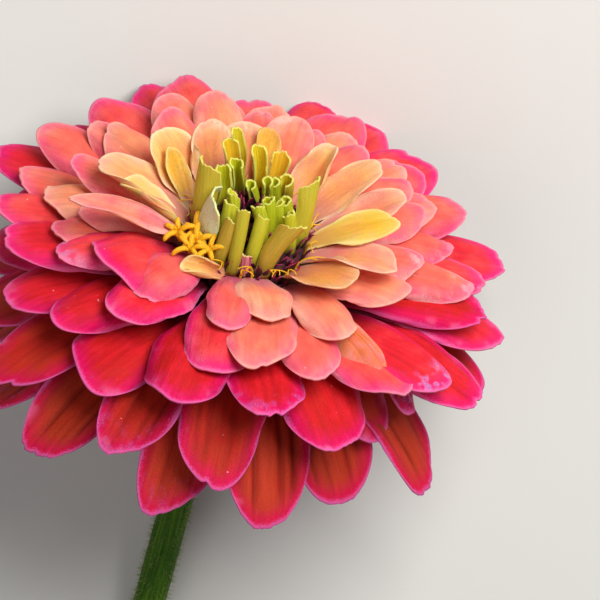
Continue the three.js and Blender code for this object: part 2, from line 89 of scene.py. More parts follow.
# %% A camera at the photograph's angle
VIEW_ABOVE_RIM = math.radians(42)
VIEW_ROLL = math.radians(15.5)
VIEW_DISTANCE = 1.2  # in m
VIEW_WIDTH = 0.1103  # what the picture spans at the bloom, in m
FARTHEST_SEEN = 20  # in m
SENSOR = 36.0  # its width in mm
AIM_RIGHT = 12.45  # from the bloom's origin to the picture's middle, in mm
AIM_DOWN = 9.14

to_right = BLOOM_AXES[0]
to_camera = BLOOM_AXES[2] * math.sin(VIEW_ABOVE_RIM) - BLOOM_AXES[1] * math.cos(VIEW_ABOVE_RIM)
image_up = BLOOM_AXES[2] * math.cos(VIEW_ABOVE_RIM) + BLOOM_AXES[1] * math.sin(VIEW_ABOVE_RIM)
aim = (BLOOM_AT + AIM_RIGHT * to_right - AIM_DOWN * image_up) * MM

camera_right = math.cos(VIEW_ROLL) * to_right + math.sin(VIEW_ROLL) * image_up
camera_up = math.cos(VIEW_ROLL) * image_up - math.sin(VIEW_ROLL) * to_right
camera = bpy.data.objects.new("camera", bpy.data.cameras.new("camera"))
camera.data.sensor_width = SENSOR
camera.data.lens = SENSOR * VIEW_DISTANCE / VIEW_WIDTH
camera.data.clip_end = FARTHEST_SEEN
turn = Matrix((camera_right, camera_up, to_camera)).transposed().to_4x4()
camera.matrix_world = Matrix.Translation(Vector(aim + VIEW_DISTANCE * to_camera)) @ turn
bpy.context.scene.collection.objects.link(camera)
bpy.context.scene.camera = camera
print("lens in mm:", round(camera.data.lens))

# %% [markdown]
# ## Closed shells from rings of points
#
# A petal, a quill, a hair and the stem have one thing in common: each is a closed skin round a path. So one
# function makes them all. It takes rings of points, joins neighbouring rings with quads, and zips each end
# shut. A thin blade is such a shell too: its ring runs across the top and back along the underside.


# %% The faces of a shell
def unit(vectors):
    """Vectors divided by their own lengths."""
    return vectors / np.linalg.norm(vectors, axis=-1, keepdims=True)


def smooth(x):
    """The cubic 3t² - 2t³ between 0 and 1."""
    t = np.clip(x, 0, 1)
    return t * t * (3 - 2 * t)


def shell_faces(stations, around):
    """Corners of one shell's faces. Its ends are zipped shut: point p joins point around - 1 - p."""
    s, p = np.meshgrid(np.arange(stations - 1), np.arange(around), indexing="ij")
    here, there = s * around, (s + 1) * around
    q = (p + 1) % around
    sides = np.stack([here + p, there + p, there + q, here + q], -1).reshape(-1, 4)
    p = np.arange(around // 2 - 1)
    first = np.stack([p, p + 1, around - 2 - p, around - 1 - p], -1)
    last = first[:, ::-1] + (stations - 1) * around
    return np.concatenate([sides, first, last])


print("faces of a shell with 3 rings of 8 points:", len(shell_faces(3, 8)))

# %% [markdown]
# ### A piece of many shells
#
# Hundreds of small objects would be slow, so all the petals of one or two rows share one mesh. Each piece
# stands for a node of the frame and rides on its one body. It prints the volume inside it, which comes out
# positive only if the faces point outwards.


# %% One piece from many shells
def volume_of(points, faces):
    """The volume inside quads: the sum of the tetrahedra that their two triangles make with the origin."""
    a, b, c, d = (points[faces[:, k]] for k in range(4))
    return float(np.sum(np.cross(b - a, c - a) * a) + np.sum(np.cross(c - a, d - a) * a)) / 6


def make_shells(name, rings, node, material, fields=None):
    """A piece of closed shells, which stands for a CAD node. rings[k, s, p] is point p of ring s of shell
    k, in mm where the flower lies. fields are numbers or vectors at the points, for the material."""
    shells, stations, around, _ = rings.shape
    faces = shell_faces(stations, around)[None] + (np.arange(shells) * stations * around)[:, None, None]
    faces = faces.reshape(-1, 4)
    points = rings.reshape(-1, 3)
    mesh = bpy.data.meshes.new(name)
    mesh.from_pydata(points * MM, [], faces, shade_flat=False)
    for key, values in (fields or {}).items():
        values = np.asarray(values, np.float32)
        is_vector = values.ndim == 4
        shape = rings.shape if is_vector else rings.shape[:3]
        attribute = mesh.attributes.new(key, "FLOAT_VECTOR" if is_vector else "FLOAT", "POINT")
        attribute.data.foreach_set("vector" if is_vector else "value", np.broadcast_to(values, shape).ravel())
    mesh.materials.append(material)
    piece = bpy.data.objects.new(name, mesh)
    bpy.context.scene.collection.objects.link(piece)
    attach(piece, "root")
    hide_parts(node)
    print(f"{name}: {shells} shells, {2 * len(faces)} triangles, {volume_of(points, faces):.0f} mm³")
    return piece


# %% [markdown]
# ### Blades and tubes
#
# Two helpers make the rings. A blade has a surface in its middle, and its two faces stand off it along its
# normals. A tube has a path in its middle, and its rings stand square to it.


# %% Rings for blades and tubes
def blade_rings(middle, thickness):
    """Rings round thin blades. middle[k, a, b] runs from root to tip and from left to right. Its normal is
    the cross product of its two slopes, and each face lies half the thickness from it."""
    normal = unit(np.cross(np.gradient(middle, axis=1), np.gradient(middle, axis=2)))
    half = normal * np.broadcast_to(thickness, middle.shape[:3])[..., None] / 2
    return np.concatenate([middle + half, (middle - half)[:, :, ::-1]], axis=2)


def both_faces(values):
    """A blade's values for the points of its rings: along the top, and back along the underside."""
    return np.concatenate([values, values[:, :, ::-1]], axis=2)


def underside(shape):
    """0 on the top of blades of this shape, and 1 on their undersides."""
    return np.concatenate([np.zeros(shape), np.ones(shape)], axis=2)


def tube_angles(around):
    """Angles round a circle, each in the middle of its step."""
    return (np.arange(around) + 0.5) / around * 2 * np.pi


def tube_rings(path, radius, around, away):
    """Rings round paths path[k, s]: radius · (cos t · n + sin t · m), with n and m square to the path.
    radius is an array [k, s, point], and away a direction that no path runs along."""
    along = unit(np.gradient(path, axis=1))
    n = unit(np.cross(along, np.broadcast_to(away, along.shape)))
    m = np.cross(n, along)
    t = tube_angles(around)
    spokes = n[:, :, None] * np.cos(t)[:, None] + m[:, :, None] * np.sin(t)[:, None]
    return path[:, :, None] + np.broadcast_to(radius, spokes.shape[:3])[..., None] * spokes


# %% [markdown]
# ## The shape of a ray
#
# Each ray is a floret of its own: a narrow claw on a seed, which widens into a blade. Its midrib is a
# quadratic curve in a plane through the bloom's axis, and its section is an arc. The solids use the same
# formula with few points. On top of it come the things that make a petal: a bluntly toothed tip with a nick
# in it, lengthwise grooves, edges that turn up or down, and a slight ruffle. No two rays are alike, so they
# need chance that comes out the same in every run.


# %% Repeatable chance, and directions round the bloom
def draw(piece, i):
    """The i-th number from 0 to 1 for each piece: the fraction of a large sine, the same in every run."""
    x = np.sin(np.asarray(piece) * 12.9898 + i * 78.233) * 43758.5453
    return x - np.floor(x)


def spread(piece, i, low, high):
    """The i-th draw for each piece, from low to high."""
    return low + (high - low) * draw(piece, i)


def outwards(azimuth):
    """Unit vectors away from the bloom's axis, at azimuths in degrees."""
    a = np.radians(azimuth)
    return np.stack([np.sin(a), -np.cos(a), np.zeros_like(a)], -1)


def sideways(azimuth):
    """Unit vectors along the rim, towards growing azimuths."""
    a = np.radians(azimuth)
    return np.stack([np.cos(a), np.sin(a), np.zeros_like(a)], -1)


AXIS = np.array([0.0, 0.0, 1.0])
print("the first draws of three pieces:", np.round(draw([1, 2, 3], 1), 2).tolist())

# %% [markdown]
# ### Outline
#
# The two parameters of a ray are along, from 0 at the root to 1 at the tip, and b, from -1 at the left edge
# to 1 at the right one. A cut-out petal would need a mesh of its own. It is simpler to let every line along
# the ray end where the outline is, so that the same grid fits every petal.

# %% Tip and edges
TEETH = ((1, 7, 6.3), (0.6, 19, 40), (0.4, 37, 60))  # for each wave its size, turns and phase
EDGE_WAVES = ((1, 7, 2.4, 30), (0.4, 19, 1, 50), (0.25, 47, 3, 70))  # size, turns, phase by side, phase
NICK_WIDTH = 0.09
CLAW_LENGTH = 0.6  # the part of its length over which a ray widens
TAPER_FROM = 0.6  # where along the ray it starts to taper


def tip_outline(g, b):
    """Where the lines along a ray end, as a part of its length. It is 1 less rounding times 1 - √(1 - b²),
    and less the teeth: a sum of cosines over b, a bell-shaped nick, and a slant in proportion to b."""
    teeth = g["teeth"] * sum(size * np.cos(turns * b + phase * g["phase"]) for size, turns, phase in TEETH)
    teeth = teeth + g["nick"] * np.exp(-(((b - g["nick_at"]) / NICK_WIDTH) ** 2)) + g["slant"] * b
    return 1 - g["rounding"] * (1 - np.sqrt(np.maximum(0, 1 - b**2))) - teeth * (1 - b**2)


def half_widths(g, along, a, b):
    """Half the width of a ray in mm. It grows smoothly from the claw's to the blade's, tapers towards the
    tip, and wobbles at the edges by a sum of sines over the length."""
    half_width = g["width"] / 2 * (g["claw"] + (1 - g["claw"]) * smooth(a / CLAW_LENGTH))
    half_width = half_width * (1 - g["taper"] * smooth((along - TAPER_FROM) / (1 - TAPER_FROM)))
    edge = np.sign(b)
    waves = sum(
        size * np.sin(turns * along + by_side * edge + phase * g["phase"])
        for size, turns, by_side, phase in EDGE_WAVES
    )
    return half_width * (1 + g["wobble"] * waves * b**2)


# %% [markdown]
# ### Midrib
#
# A quadratic curve is the simplest one that leaves its seed at one angle and droops to a tip at another.
# Its three points are the root, the tip, and a knee that the angle of rise sets.


# %% The curve of the midrib
def midrib(g, a):
    """Radii and heights of the midrib, its slopes, and the length of its chord. The curve is (1 - a)² root
    + 2a(1 - a) knee + a² tip, with the knee half the chord's length from the root at the angle of rise. Its
    slope is (1 - a)(knee - root) + a(tip - knee), but for a factor of two."""
    length = np.hypot(g["tip_r"] - g["root_r"], g["tip_z"] - g["root_z"])
    rise = np.radians(g["rise"])
    places, slopes = [], []
    for axis, part in (("r", np.cos(rise)), ("z", np.sin(rise))):
        root, tip = g[f"root_{axis}"], g[f"tip_{axis}"]
        knee = root + 0.5 * length * part
        places.append((1 - a) ** 2 * root + 2 * a * (1 - a) * knee + a**2 * tip)
        slopes.append((1 - a) * (knee - root) + a * (tip - knee))
    return places, slopes, length


# %% [markdown]
# ### Relief
#
# A fresh petal isn't a smooth arc. It has veins that lie in grooves, its edges turn, and it buckles where
# it pressed against its neighbours in the bud. Each of these is a small height along the petal's normal, so
# they add up.

# %% Grooves, turned edges and buckles
FURROWS = (-0.62, -0.22, 0.2, 0.58)  # where the grooves lie, as parts of the half width
FURROW_WIDTH = 0.07


def furrow_depths(g, along, b):
    """How deep the grooves are, from 0 to about 1: a bell-shaped curve over b for each, which drifts
    sideways along the ray. They fade in and out towards its ends."""
    depths = 0
    for k, at in enumerate(FURROWS):
        chance = g[f"furrow_{k}"]
        line = at + 0.2 * (chance - 0.5) * (0.5 + along)
        depths = depths + (8.7 * chance % 1) * np.exp(-((b - line) / FURROW_WIDTH) ** 2)
    return depths * smooth(along / 0.25) * smooth((1 - along) / 0.15)


def relief(g, along, b, furrows):
    """How far the surface stands off its arc, in mm. The edges turn as the cube of b, a ruffle is a sine
    along the edges, a buckle is a product of two sines, a dent is a bell-shaped curve over b, and the tip
    bends."""
    edge_turn = np.where(b < 0, g["left_turn"], g["right_turn"]) * np.abs(b) ** 3 * smooth(along / 0.5)
    ruffle = g["ruffle"] * b**2 * np.sin(9 * along + 6.3 * g["phase"] + 2 * b) * smooth(along / 0.4)
    buckle = g["buckle"] * np.sin(6 * along + 2.6 * b + 20 * g["phase"])
    buckle = buckle * np.sin(3 * b + 9 * g["phase"] + 2 * along) * smooth(along / 0.5)
    dent = g["dent"] * np.exp(-(((b - 0.1) / 0.3) ** 2)) * smooth(along / 0.4)
    tip_bend = g["tip_bend"] * smooth((along - 0.35) / 0.65) ** 2
    skirt = g["skirt"] * smooth((along - 0.8) / 0.2) ** 1.5
    return edge_turn + ruffle + buckle - dent + (tip_bend - skirt) - g["furrow"] * furrows


# %% [markdown]
# ### The whole surface
#
# The grid is finer where the outline turns fast: across a ray, b is the sine of evenly spaced angles, and
# along it the steps shrink towards the tip. The surface also carries numbers for its material, such as how
# far each point is from the rim, so that colours can follow the petal's own shape.

# %% The surface through the middle of rays
PLAIN_RAY = dict(
    claw=0.42, rounding=0.2, taper=0, wobble=0, teeth=0, nick=0, nick_at=0, phase=0,
    turn=0, twist=0, sway=0, shift=0, unroll=0, slant=0,
    left_turn=0, right_turn=0, ruffle=0, buckle=0, dent=0, tip_bend=0, skirt=0,
    furrow=0, furrow_0=0.5, furrow_1=0.5, furrow_2=0.5, furrow_3=0.5,
    tint=0, bruise=0, brown=0, number=0,
)
FINER_TO_TIP = 1.4
BETWEEN_PATTERNS = 7.3  # how far apart two rays lie in the materials' patterns


def ray_surface(p, stations, columns):
    """The middle surface of n rays, as an array [ray, along, across], in mm in the bloom's axes, with the
    numbers that their material needs. p holds an array of n values for each number that shapes a ray.
    Across the midrib a point lies on an arc of curvature curl, at (sin t · side + (1 - cos t) · up) / curl,
    where t is curl · b · half width, and then stands off it by the relief."""
    n = len(p["azimuth"])
    g = {key: np.broadcast_to(np.asarray(p.get(key, value), float), n)[:, None, None]
         for key, value in {**PLAIN_RAY, **p}.items()}
    along = 1 - (1 - np.linspace(0, 1, stations)[None, :, None]) ** FINER_TO_TIP
    b = np.sin(np.linspace(-np.pi / 2, np.pi / 2, columns))[None, None, :]
    end = tip_outline(g, b)
    a = along * end
    half_width = half_widths(g, along, a, b)
    (r, z), (slope_r, slope_z), length = midrib(g, a)

    out = outwards(p["azimuth"])[:, None, None]
    side = sideways(p["azimuth"])[:, None, None]
    speed = np.hypot(slope_r, slope_z)
    up = out * (-slope_z / speed)[..., None] + AXIS * (slope_r / speed)[..., None]
    twist = np.radians(g["turn"] + g["twist"] * a)
    tilted_side = side * np.cos(twist)[..., None] + up * np.sin(twist)[..., None]
    tilted_up = up * np.cos(twist)[..., None] - side * np.sin(twist)[..., None]

    curl = g["curl"] * (1 - g["unroll"] * a**2)
    angle = curl * b * half_width
    middle = out * r[..., None] + AXIS * z[..., None] + side * (g["sway"] * a**2 + g["shift"])[..., None]
    middle = middle + tilted_side * (np.sin(angle) / curl)[..., None]
    middle = middle + tilted_up * ((1 - np.cos(angle)) / curl)[..., None]
    normal = tilted_up * np.cos(angle)[..., None] - tilted_side * np.sin(angle)[..., None]
    furrows = furrow_depths(g, along, b)
    middle = middle + normal * relief(g, along, b, furrows)[..., None]

    to_side = (1 - np.abs(b)) * half_width + 1e-3
    to_tip = (1 - along) * length * end + 1e-3
    shape = middle.shape[:3]
    place = [b * half_width, a * length, BETWEEN_PATTERNS * g["number"]]
    fields = {
        "along": both_faces(np.broadcast_to(along, shape)),
        "rim": both_faces((to_side**-2 + to_tip**-2) ** -0.5),
        # furrow: how deep the grooves are, which the material paints with shade
        "furrow": both_faces(furrows * (2 * g["furrow"]).clip(0, 1)),
        "place": both_faces(np.stack([np.broadcast_to(values, shape) for values in place], -1)),
        "under": underside(shape),
        **{key: g[key] for key in ("tint", "bruise", "brown")},
    }
    return middle, fields


# %% [markdown]
# ## The rows of rays
#
# Seven rows, outermost first. height is that of the tips in mm, root the height where the claws leave the
# seeds, rise the angle at which they do, and curl the curvature of the section, positive with the edges up.
# tint runs from crimson at 0 over coral and peach to yellow at 1: the outer rays opened first and are fully
# coloured, and the inner ones are still pale. furrow is how deep the grooves are, edges how far the edges
# turn up, tips how far the tips bend up, skirt how sharply their ends drop, and near_lift how much higher
# the claws sit on the near side, all in mm. Each ray has its azimuth in degrees and the radius of its tip,
# and its width where that isn't the row's.

# %% Rows
ROWS = (
    dict(
        height=-33, root=-18.2, rise=18, width=15.5, curl=0.03, tint=0.0, furrow=0.5, near_lift=0,
        edges=0.1, tips=-0.6, skirt=0.3,
        rays=(
            (-76, 46), (-55, 47), (-34, 46, 17), (-3, 43, 13.5), (24.5, 45.2, 17.5), (49, 40.5, 18),
            (68, 48.5, 13.5), (96, 46), (119, 46), (143, 49), (168, 46.5), (192, 45.5), (217, 48),
            (241, 46), (263, 46),
        ),
    ),
    dict(
        height=-22, root=-16, rise=26, width=15.5, curl=0.02, tint=0.1, furrow=0.4, near_lift=0,
        edges=-0.1, tips=-0.6, skirt=0.4,
        rays=(
            (-69, 48), (-50, 49), (-16, 44.5, 15.5), (8.5, 45, 18), (60, 40), (87, 49), (111, 49),
            (135, 48), (158, 50), (180, 46), (203, 50), (226, 48), (249, 48), (271, 48),
        ),
    ),
    dict(
        height=-11, root=-13.8, rise=30, width=15, curl=-0.02, tint=0.26, furrow=0.25, near_lift=0,
        edges=-0.5, tips=-0.8, skirt=0.8,
        rays=(
            (-63, 46), (-30, 42.5, 17), (40, 44.8, 18), (73, 51.5), (95, 51), (117, 54), (145, 51),
            (163, 53), (175, 52.5), (210.5, 53), (231, 50), (253, 53), (279, 46), (69, 41.5, 7),
        ),
    ),
    dict(
        height=-4, root=-11.6, rise=33, width=14.5, curl=-0.04, tint=0.34, furrow=0.18, near_lift=0,
        edges=-0.7, tips=-0.8, skirt=1.0,
        rays=(
            (-71, 45.5), (-47, 42.5), (-7, 41.5, 17), (19, 42, 17), (54.5, 43.3, 15.5), (63, 47),
            (92, 46), (105, 45), (130, 49), (144, 46), (165, 46.8), (188, 45), (206, 47, 16.5),
            (227, 46.5, 16), (247, 46.8), (262, 45.4), (-84.5, 47.5),
        ),
    ),
    dict(
        height=0, root=-8, rise=36, width=12.5, curl=-0.05, tint=0.5, furrow=0.12, near_lift=2.5,
        edges=-0.9, tips=-0.8, skirt=1.2,
        rays=(
            (-86, 38), (-72, 36.5, 10.5), (-34, 35, 15), (1, 35.3, 15.5), (17.5, 35.2, 15),
            (36, 36.5, 13.5), (54, 36, 5.5), (97, 42.5), (112, 41), (126, 38), (141, 39.5), (161, 40),
            (182, 38), (198, 39.5), (215, 39), (240, 40), (-62, 36.5, 11),
        ),
    ),
    dict(
        height=4, root=-5.4, rise=38, width=11, curl=-0.04, tint=0.64, furrow=0.12, near_lift=4.5,
        edges=-1.0, tips=-0.8, skirt=1.2,
        rays=(
            (-78, 31, 8.5), (-51, 31, 17), (-36, 28.5, 11.5), (1, 27.5), (18, 24.8), (48, 31.2),
            (74, 32, 13.5), (92, 32), (118, 34), (134, 36), (148, 33), (168, 33), (187, 33), (201, 35),
            (222, 31), (241, 35.5, 13), (266, 35),
        ),
    ),
    dict(
        height=9, root=-1.4, rise=40, width=9, curl=0.05, tint=0.8, furrow=0.1, near_lift=1.5,
        edges=0.3, tips=0.3, skirt=0.1,
        rays=(
            (-86, 29.5, 12.5), (-65, 35, 5.6), (-67, 15.4, 6), (55, 25.2, 12), (78, 28), (96, 25.5),
            (109, 29), (132, 27), (149, 23), (161, 25), (178, 24, 8), (197, 22.5, 8), (222, 21.5, 12),
            (252, 19, 5.5), (245, 25, 12), (-78, 25, 6.5),
        ),
    ),
)
print([len(row["rays"]) for row in ROWS], "rays in the rows")

# %% [markdown]
# ### Single rays
#
# Some rays stand out from their row. They are named by row, counted from 1, and azimuth, with what differs.
# A few have moved to another azimuth or reach, and two, 4:-7 and 4:19, have a deeper tint than their row,
# which is painted shade from the rays over them. bruise is how strongly the tip is bleached, and brown how
# far the whole ray has withered.

# %% Single rays
SINGLE_RAYS = {
    (1, -55): dict(bruise=0.4),
    (1, -3): dict(bruise=0.2, furrow=0.9),
    (1, 24.5): dict(furrow=1.3, slant=0, nick=0, teeth=0.004, rounding=0.34),
    (1, 49): dict(furrow=0.8),
    (2, -16): dict(bruise=0.3),
    (3, 69): dict(curl=0.35, height=-15, bruise=1, buckle=1.2, furrow=0.6),
    (3, 73): dict(height=-8.5),
    (3, 117): dict(tint=0.44),
    (3, 145): dict(azimuth=147.3, reach=51.6, height=-7.6),
    (3, 163): dict(azimuth=160.8, reach=55, height=-8),
    (3, 175): dict(azimuth=171.3, reach=52.9, height=-8.6),
    (3, 253): dict(tint=0.36),
    (3, 279): dict(tint=0.38),
    (4, -84.5): dict(tint=0.5),
    (4, -71): dict(tint=0.4),
    (4, -47): dict(tint=0.32),
    # painted shade: 4:-7 and 4:19 have a deeper tint than their row, for the shadow of the rays above them
    (4, -7): dict(bruise=0.1, tint=0.29),
    (4, 19): dict(bruise=0.5, tint=0.3),
    (4, 54.5): dict(tint=0.52, slant=-0.04, nick=0, teeth=0.004, rounding=0.3),
    (4, 63): dict(bruise=1.7),
    (4, 92): dict(tint=0.27),
    (4, 130): dict(tint=0.58),
    (4, 247): dict(tint=0.62, height=-2.5),
    (4, 262): dict(tint=0.64, height=-3),
    (5, -86): dict(tint=0.74),
    (5, -72): dict(tint=0.64),
    (5, -62): dict(tint=0.5, bruise=0.9),
    (5, -34): dict(tint=0.42),
    (5, 1): dict(tint=0.46),
    (5, 17.5): dict(tint=0.66),
    (5, 36): dict(tint=0.6),
    (5, 54): dict(
        tint=0.66, width=4.8, reach=37.5, curl=0.22, height=-2.4, furrow=0.7, near_lift=0, bruise=0.3,
        brown=0.7,
    ),
    (5, 97): dict(tint=0.62, bruise=0.8),
    (5, 112): dict(tint=0.58, bruise=0.6),
    (6, -78): dict(tint=0.68),
    (6, -51): dict(tint=0.44),
    (6, -36): dict(tint=0.56, height=2.5),
    (6, 1): dict(tint=0.6),
    (6, 18): dict(tint=0.74),
    (6, 48): dict(tint=0.72, height=5),
    (6, 74): dict(tint=0.7),
    (6, 92): dict(tint=0.66, bruise=1),
    (6, 201): dict(tint=0.71),
    (6, 241): dict(tint=0.72),
    (7, -86): dict(tint=0.82, curl=0.08, height=6.5),
    (7, -78): dict(tint=0.9, curl=0.34, height=9.5),
    (7, -67): dict(
        tint=0.9, brown=0.15, root_r=6.1, shift=10.7, root=-2.2, height=2.1, curl=0.46, turn=-34,
        sway=0, skirt=0,
    ),
    (7, -65): dict(tint=0.7, curl=0.24, height=8.5),
    (7, 55): dict(tint=0.84, height=8, brown=0.42),
    (7, 78): dict(tint=0.77, height=8.4, root=-1.2),
    (7, 96): dict(
        tint=1.0, curl=0.02, root=0.6, height=12, width=8.6, dent=0, furrow=0, buckle=0, turn=5,
        twist=0, tip_bend=-0.8, slant=0.14, rounding=0.36,
    ),
    (7, 109): dict(tint=0.78, height=7.6, root=-2.2),
    (7, 132): dict(tint=0.82, height=10),
    (7, 149): dict(tint=0.85, curl=0.2, bruise=0.6),
    (7, 161): dict(azimuth=171.7, reach=26.4, width=10.4, tint=0.71, bruise=0.5),
    (7, 178): dict(azimuth=183, reach=19.9, width=5, curl=0.3, tint=0.98, brown=0.5, root=-0.6),
    (7, 197): dict(azimuth=194.5, reach=21.8, width=10.5, tint=0.8, bruise=0.7),
    (7, 222): dict(reach=21, tint=0.8, bruise=0.9),
    (7, 245): dict(tint=0.88, reach=23.4),
    (7, 252): dict(tint=1.0, curl=0.42, height=10.5, brown=0.25),
}
print(len(SINGLE_RAYS), "rays that stand out")

# %% [markdown]
# ### From the tables to arrays
#
# A formula for whole rows at once needs an array for each number that shapes a ray. The first five draws
# place a ray just as its solid is placed. The later ones shape its tip, edges and grooves.

# %% All the numbers of the rays
ROOT_RADIUS = 10.7  # where a claw starts, inside the ring of seeds
NUMBERS_PER_ROW = 40  # keeps the rays' numbers, and so their draws, apart
MIDDLE_ROWS = (2, 3, 4)
FAR_SIDE_PALER = 0.22  # in the middle rows
HANGING_Z = -10  # the floor pushes rays up that would hang lower than this on the far side
PUSHED_PART = 0.72
OVERLAP_STEP = 0.45  # every second ray lies this much higher, and the others this much lower
# These numbers come from draws, but a single ray may have its own.
DRAWN = {
    "teeth", "tip_bend", "sway", "taper", "rounding", "dent", "buckle", "skirt", "slant", "twist", "nick",
}


def far_part(azimuth):
    """0 on the near side of the bloom, and 1 on its far side."""
    return (1 - np.cos(np.radians(azimuth))) / 2


def ray_numbers(row_numbers):
    """The arrays that shape all the rays of the rows with these numbers, counted from 0. The floor pushes a
    hanging tip up by PUSHED_PART of its depth times far_part³. A root is higher by near_lift times
    (1 - far_part)⁴."""
    table, singles = [], []
    for n in row_numbers:
        for i, (azimuth, reach, *width) in enumerate(ROWS[n]["rays"]):
            ray = {key: value for key, value in ROWS[n].items() if key != "rays"}
            ray.update(azimuth=azimuth, reach=reach, piece=n * NUMBERS_PER_ROW + i, step=1 - 2 * (i % 2))
            ray.update(root_r=ROOT_RADIUS, shift=0, turn=0, bruise=0, brown=0)
            ray["width"] = width[0] if width else ray["width"]
            ray["tint"] += FAR_SIDE_PALER * far_part(azimuth) if n in MIDDLE_ROWS else 0
            single = SINGLE_RAYS.get((n + 1, azimuth), {})
            ray.update((key, value) for key, value in single.items() if key in ray)
            table.append(ray)
            singles.append(single)
    p = {key: np.array([ray[key] for ray in table], float) for key in table[0]}
    piece = p["piece"]
    far = far_part(p["azimuth"])
    pushed_up = np.maximum(0, HANGING_Z - p["height"]) * PUSHED_PART * far**3
    step = OVERLAP_STEP * p["step"]
    lift = p["near_lift"] * (1 - far) ** 4
    p.update(
        root_z=p["root"] + step + lift,
        tip_r=p["reach"] * spread(piece, 1, 0.98, 1.02),
        tip_z=p["height"] + pushed_up + step + spread(piece, 2, -0.7, 0.7),
        width=p["width"] * spread(piece, 3, 0.94, 1.06),
        twist=spread(piece, 4, -6, 6),
        sway=spread(piece, 5, -1.2, 1.2),
        rounding=spread(piece, 20, 0.23, 0.31),
        taper=spread(piece, 21, 0.0, 0.14),
        number=piece,
        phase=draw(piece, 6),
        wobble=spread(piece, 22, 0.01, 0.048),
        teeth=spread(piece, 7, 0.0, 0.007),
        slant=spread(piece, 23, -0.1, 0.1),
        buckle=spread(piece, 24, 0.1, 0.45),
        dent=spread(piece, 25, -0.3, 0.6),
        nick=spread(piece, 8, -0.04, 0.03).clip(0),
        nick_at=spread(piece, 9, -0.5, 0.5),
        left_turn=spread(piece, 10, -1.0, 1.0) + p["edges"],
        right_turn=spread(piece, 11, -1.0, 1.0) + p["edges"],
        ruffle=spread(piece, 12, 0.1, 0.4),
        tip_bend=spread(piece, 13, -1.4, 1.4) + p["tips"] - lift / 3,
        furrow=p["furrow"] * spread(piece, 14, 0.5, 1.3),
        skirt=p["skirt"] * spread(piece, 26, 0.2, 1.2),
    )
    p.update({f"furrow_{k}": draw(piece, 15 + k) for k in range(len(FURROWS))})
    for k, single in enumerate(singles):
        for key in single.keys() & DRAWN:
            p[key][k] = single[key]
    return p


print("numbers that shape a ray:", len(ray_numbers((0,))))

# %% [markdown]
# ## Nodes for the materials
#
# The materials are small graphs of nodes. A few helpers keep them readable: each adds one node and returns
# its output, and a number, a colour or another output can go into any socket. Numbers that are the same all
# over a surface go straight into the shader's own sockets.


# %% Colours, shaders and inputs
def rgb(red, green, blue):
    """A colour given from 0 to 255 as the eye sees it, in the linear values that a shader takes."""
    c = np.array([red, green, blue]) / 255
    return (*np.where(c <= 0.04045, c / 12.92, ((c + 0.055) / 1.055) ** 2.4).tolist(), 1.0)


def new_material(name, **sockets):
    """A material whose shader has these constant values, and the tree that its nodes go into."""
    material = bpy.data.materials.new(name)
    material.use_nodes = True
    tree = material.node_tree
    shader = tree.nodes["Principled BSDF"]
    for key, value in sockets.items():
        shader.inputs[key.replace("_", " ").title().replace("Ior", "IOR")].default_value = value
    return material, tree, shader


def put(tree, socket, value):
    """Links an output into a socket, or sets the socket to a constant."""
    if isinstance(value, bpy.types.NodeSocket):
        tree.links.new(value, socket)
    else:
        socket.default_value = value


def field(tree, name, output="Fac"):
    """A number that the mesh holds at its points. With the output Vector it is a place instead."""
    node = tree.nodes.new("ShaderNodeAttribute")
    node.attribute_name = name
    return node.outputs[output]


def maths(tree, operation, *values):
    """A sum, a product or the like of one, two or three values."""
    node = tree.nodes.new("ShaderNodeMath")
    node.operation = operation
    for socket, value in zip(node.inputs, values):
        put(tree, socket, value)
    return node.outputs[0]


print("crimson for a shader:", np.round(rgb(208, 28, 34), 2).tolist())

# %% [markdown]
# ### Steps, mixtures and patterns
#
# Real finishes have few hard borders. So most steps here are eased ones, and their limits wander with a
# noise.


# %% Helpers for patterns
def ease(tree, value, low, high, first=0.0, last=1.0):
    """A smooth step from first, where value is low, to last, where it is high."""
    node = tree.nodes.new("ShaderNodeMapRange")
    node.interpolation_type = "SMOOTHSTEP"
    sockets = {"Value": value, "From Min": low, "From Max": high, "To Min": first, "To Max": last}
    for key, number in sockets.items():
        put(tree, node.inputs[key], number)
    return node.outputs["Result"]


def mixed(tree, part, first, second, how="MIX"):
    """The first colour where part is 0, and the second where it is 1."""
    node = tree.nodes.new("ShaderNodeMix")
    node.data_type = "RGBA"
    node.blend_type = how
    put(tree, node.inputs[0], part)
    put(tree, node.inputs[6], first)
    put(tree, node.inputs[7], second)
    return node.outputs[2]


def ramp(tree, value, *stops):
    """Colours along a value. Each stop is a position from 0 to 1 and a colour."""
    node = tree.nodes.new("ShaderNodeValToRGB")
    elements = node.color_ramp.elements
    while len(elements) < len(stops):
        elements.new(0.5)
    for element, (position, colour) in zip(elements, stops):
        element.position = position
        element.color = rgb(*colour)
    put(tree, node.inputs["Fac"], value)
    return node.outputs["Color"]


def scaled(tree, vector, *factors):
    """A vector with each of its parts times its own factor, which stretches the pattern that reads it."""
    node = tree.nodes.new("ShaderNodeVectorMath")
    node.operation = "MULTIPLY"
    put(tree, node.inputs[0], vector)
    node.inputs[1].default_value = factors
    return node.outputs[0]


def noise(tree, vector, scale, detail=2.0):
    """A cloudy pattern round 0.5, with scale clouds to each unit of the vector."""
    node = tree.nodes.new("ShaderNodeTexNoise")
    put(tree, node.inputs["Vector"], vector)
    node.inputs["Scale"].default_value = scale
    node.inputs["Detail"].default_value = detail
    return node.outputs["Fac"]


def bump(tree, shader, height, distance, strength):
    """Shades the surface as if it stood up by height times distance, in m."""
    node = tree.nodes.new("ShaderNodeBump")
    node.inputs["Distance"].default_value = distance
    node.inputs["Strength"].default_value = strength
    put(tree, node.inputs["Height"], height)
    tree.links.new(node.outputs["Normal"], shader.inputs["Normal"])


